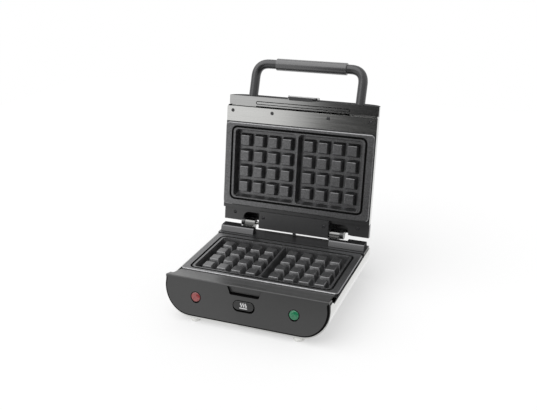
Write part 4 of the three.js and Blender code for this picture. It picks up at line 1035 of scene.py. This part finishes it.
def room_tone(tree, ways):
    """The room as gloss sees it: white, apart from an unlit side low at the front right."""
    unlit = math.radians(bpy.context.scene.waffle_stage.unlit_side)
    facing = add(tree, "ShaderNodeVectorMath", {
        0: ways, 1: (math.sin(unlit), -math.cos(unlit), 0.0),
    }, operation="DOT_PRODUCT")

    # Cosines of the angles from the unlit side's middle at which it begins and is dark
    begins, dark = 0.635, 0.69
    room = soft_step(tree, facing.outputs["Value"], begins, dark, 1.0, 0.04)

    # Sines of the heights at which the light comes back
    low, high = 0.14, 0.34
    height = add(tree, "ShaderNodeVectorMath", {0: ways, 1: (0.0, 0.0, 1.0)}, operation="DOT_PRODUCT")
    level = add(tree, "ShaderNodeMath", {0: height.outputs["Value"]}, operation="ABSOLUTE")
    ceiling = soft_step(tree, level.outputs[0], low, high, 0.0, 0.8)
    return joined_by(tree, "MAXIMUM", room, ceiling)


def make_floor(looks):
    """A pale sheet of paper that glows a little for the camera and mirrors the room's tone in gloss."""
    ground = bmesh.new()
    bmesh.ops.create_grid(ground, x_segments=1, y_segments=1, size=1.2)
    floor = mesh_object("floor", ground)
    material = bpy.data.materials.new("pale_paper")
    material.use_nodes = True
    tree = material.node_tree
    tree.nodes.clear()
    paper = add(tree, "ShaderNodeBsdfDiffuse", {"Color": (*linear("f0f0f0"), 1)})
    rays = add(tree, "ShaderNodeLightPath").outputs
    glowing = joined_by(tree, "MULTIPLY", rays["Is Camera Ray"], looks.floor_glow)
    shown = joined_by(tree, "MAXIMUM", glowing, rays["Is Glossy Ray"])
    middle = (0.0, MOULD_Y, 100 * MM)
    below = add(tree, "ShaderNodeVectorMath", {
        0: add(tree, "ShaderNodeTexCoord").outputs["Object"], 1: middle,
    }, operation="SUBTRACT")
    ways = add(tree, "ShaderNodeVectorMath", {0: below.outputs["Vector"]}, operation="NORMALIZE")
    tone = joined_by(
        tree, "MAXIMUM", rays["Is Camera Ray"], room_tone(tree, ways.outputs["Vector"])
    )
    glow = add(tree, "ShaderNodeEmission", {"Color": (1, 1, 1, 1), "Strength": tone})
    mix = add(tree, "ShaderNodeMixShader", {
        0: shown, 1: paper.outputs["BSDF"], 2: glow.outputs["Emission"],
    })
    add(tree, "ShaderNodeOutputMaterial", {"Surface": mix.outputs["Shader"]})
    floor.data.materials.append(material)


def make_room(scene, looks):
    """A room that is white for the camera, has an unlit side for gloss and lights matt surfaces."""
    world = bpy.data.worlds.new("studio")
    world.use_nodes = True
    scene.world = world
    tree = world.node_tree
    tree.nodes.clear()
    rays = add(tree, "ShaderNodeLightPath").outputs
    ways = add(tree, "ShaderNodeTexCoord").outputs["Generated"]
    mirrored = joined_by(tree, "MULTIPLY", rays["Is Glossy Ray"], room_tone(tree, ways))
    direct = joined_by(tree, "MAXIMUM", rays["Is Camera Ray"], rays["Is Transmission Ray"])
    shown = joined_by(tree, "MAXIMUM", direct, mirrored)
    matt = joined_by(tree, "MULTIPLY", rays["Is Diffuse Ray"], looks.room_light)
    strength = joined_by(tree, "MAXIMUM", shown, matt)
    sky = add(tree, "ShaderNodeBackground", {"Color": (1, 1, 1, 1), "Strength": strength})
    add(tree, "ShaderNodeOutputWorld", {"Surface": sky.outputs["Background"]})


def placed_holder(scene, name, data, turn):
    """An object that holds a lamp or a camera, turned by a quaternion."""
    holder = bpy.data.objects.new(name, data)
    scene.collection.objects.link(holder)
    holder.rotation_mode = "QUATERNION"
    holder.rotation_quaternion = turn
    return holder


class WAFFLE_OT_stage(bpy.types.Operator):
    """Sets the pale floor, the room, the soft sun and the camera"""

    bl_idname = "waffle.stage"
    bl_label = "Stage"

    def execute(self, context):
        scene = context.scene
        looks = scene.waffle_stage
        make_floor(looks)
        make_room(scene, looks)
        sun = bpy.data.lights.new("key", "SUN")
        sun.energy = looks.key
        sun.angle = looks.softness
        down_to_right = Vector((0.7, 0.6, -1.5))
        placed_holder(scene, "key", sun, down_to_right.to_track_quat("-Z", "Y"))

        # The camera stands at the front right, as fitted to the corners of the plates' blocks
        camera = bpy.data.cameras.new("camera")
        camera.lens = looks.lens
        camera.sensor_width = 36
        azimuth, elevation, roll = (math.radians(v) for v in (21.91, 22.04, -0.86))
        out = math.cos(elevation)
        back = Vector((math.sin(azimuth) * out, -math.cos(azimuth) * out, math.sin(elevation)))
        right = Vector((math.cos(azimuth), math.sin(azimuth), 0))
        up = back.cross(right)
        across = math.cos(roll) * right + math.sin(roll) * up
        upright = math.cos(roll) * up - math.sin(roll) * right
        turn = Matrix((across, upright, back)).transposed().to_quaternion()
        holder = placed_holder(scene, "camera", camera, turn)
        holder.location = (390.85 * MM, MOULD_Y - 985.36 * MM, 581.74 * MM)
        scene.camera = holder
        scene.view_settings.view_transform = "Standard"
        return {"FINISHED"}


class WAFFLE_PT_panel(bpy.types.Panel):
    """Lists the pieces of the waffle maker"""

    bl_idname = "WAFFLE_PT_panel"
    bl_label = "Waffle maker"
    bl_space_type = "VIEW_3D"
    bl_region_type = "UI"
    bl_category = "Waffle maker"

    def draw(self, context):
        for operator in OPERATORS:
            self.layout.operator(operator.bl_idname)
        for group in (getattr(context.scene, name) for name in GROUPS):
            for field in group.bl_rna.properties.keys():
                if field not in ("rna_type", "name"):
                    self.layout.prop(group, field)


OPERATORS = (
    WAFFLE_OT_stage, WAFFLE_OT_plates, WAFFLE_OT_fascia, WAFFLE_OT_housing, WAFFLE_OT_hinges,
    WAFFLE_OT_controls, WAFFLE_OT_screws, WAFFLE_OT_handle, WAFFLE_OT_inner,
)
GROUPS = {"waffle_plate": PlateLooks, "waffle_body": BodyLooks, "waffle_stage": StageLooks}


def register():
    for group in GROUPS.values():
        bpy.utils.register_class(group)
    for name, group in GROUPS.items():
        setattr(bpy.types.Scene, name, bpy.props.PointerProperty(type=group))
    for operator in OPERATORS:
        bpy.utils.register_class(operator)
    bpy.utils.register_class(WAFFLE_PT_panel)


def unregister():
    bpy.utils.unregister_class(WAFFLE_PT_panel)
    for operator in OPERATORS:
        bpy.utils.unregister_class(operator)
    for name, group in GROUPS.items():
        delattr(bpy.types.Scene, name)
        bpy.utils.unregister_class(group)


def main():
    register()
    make_finishes()
    for operator in OPERATORS:
        family, name = operator.bl_idname.split(".")
        getattr(getattr(bpy.ops, family), name)()


if __name__ == "__main__":
    main()
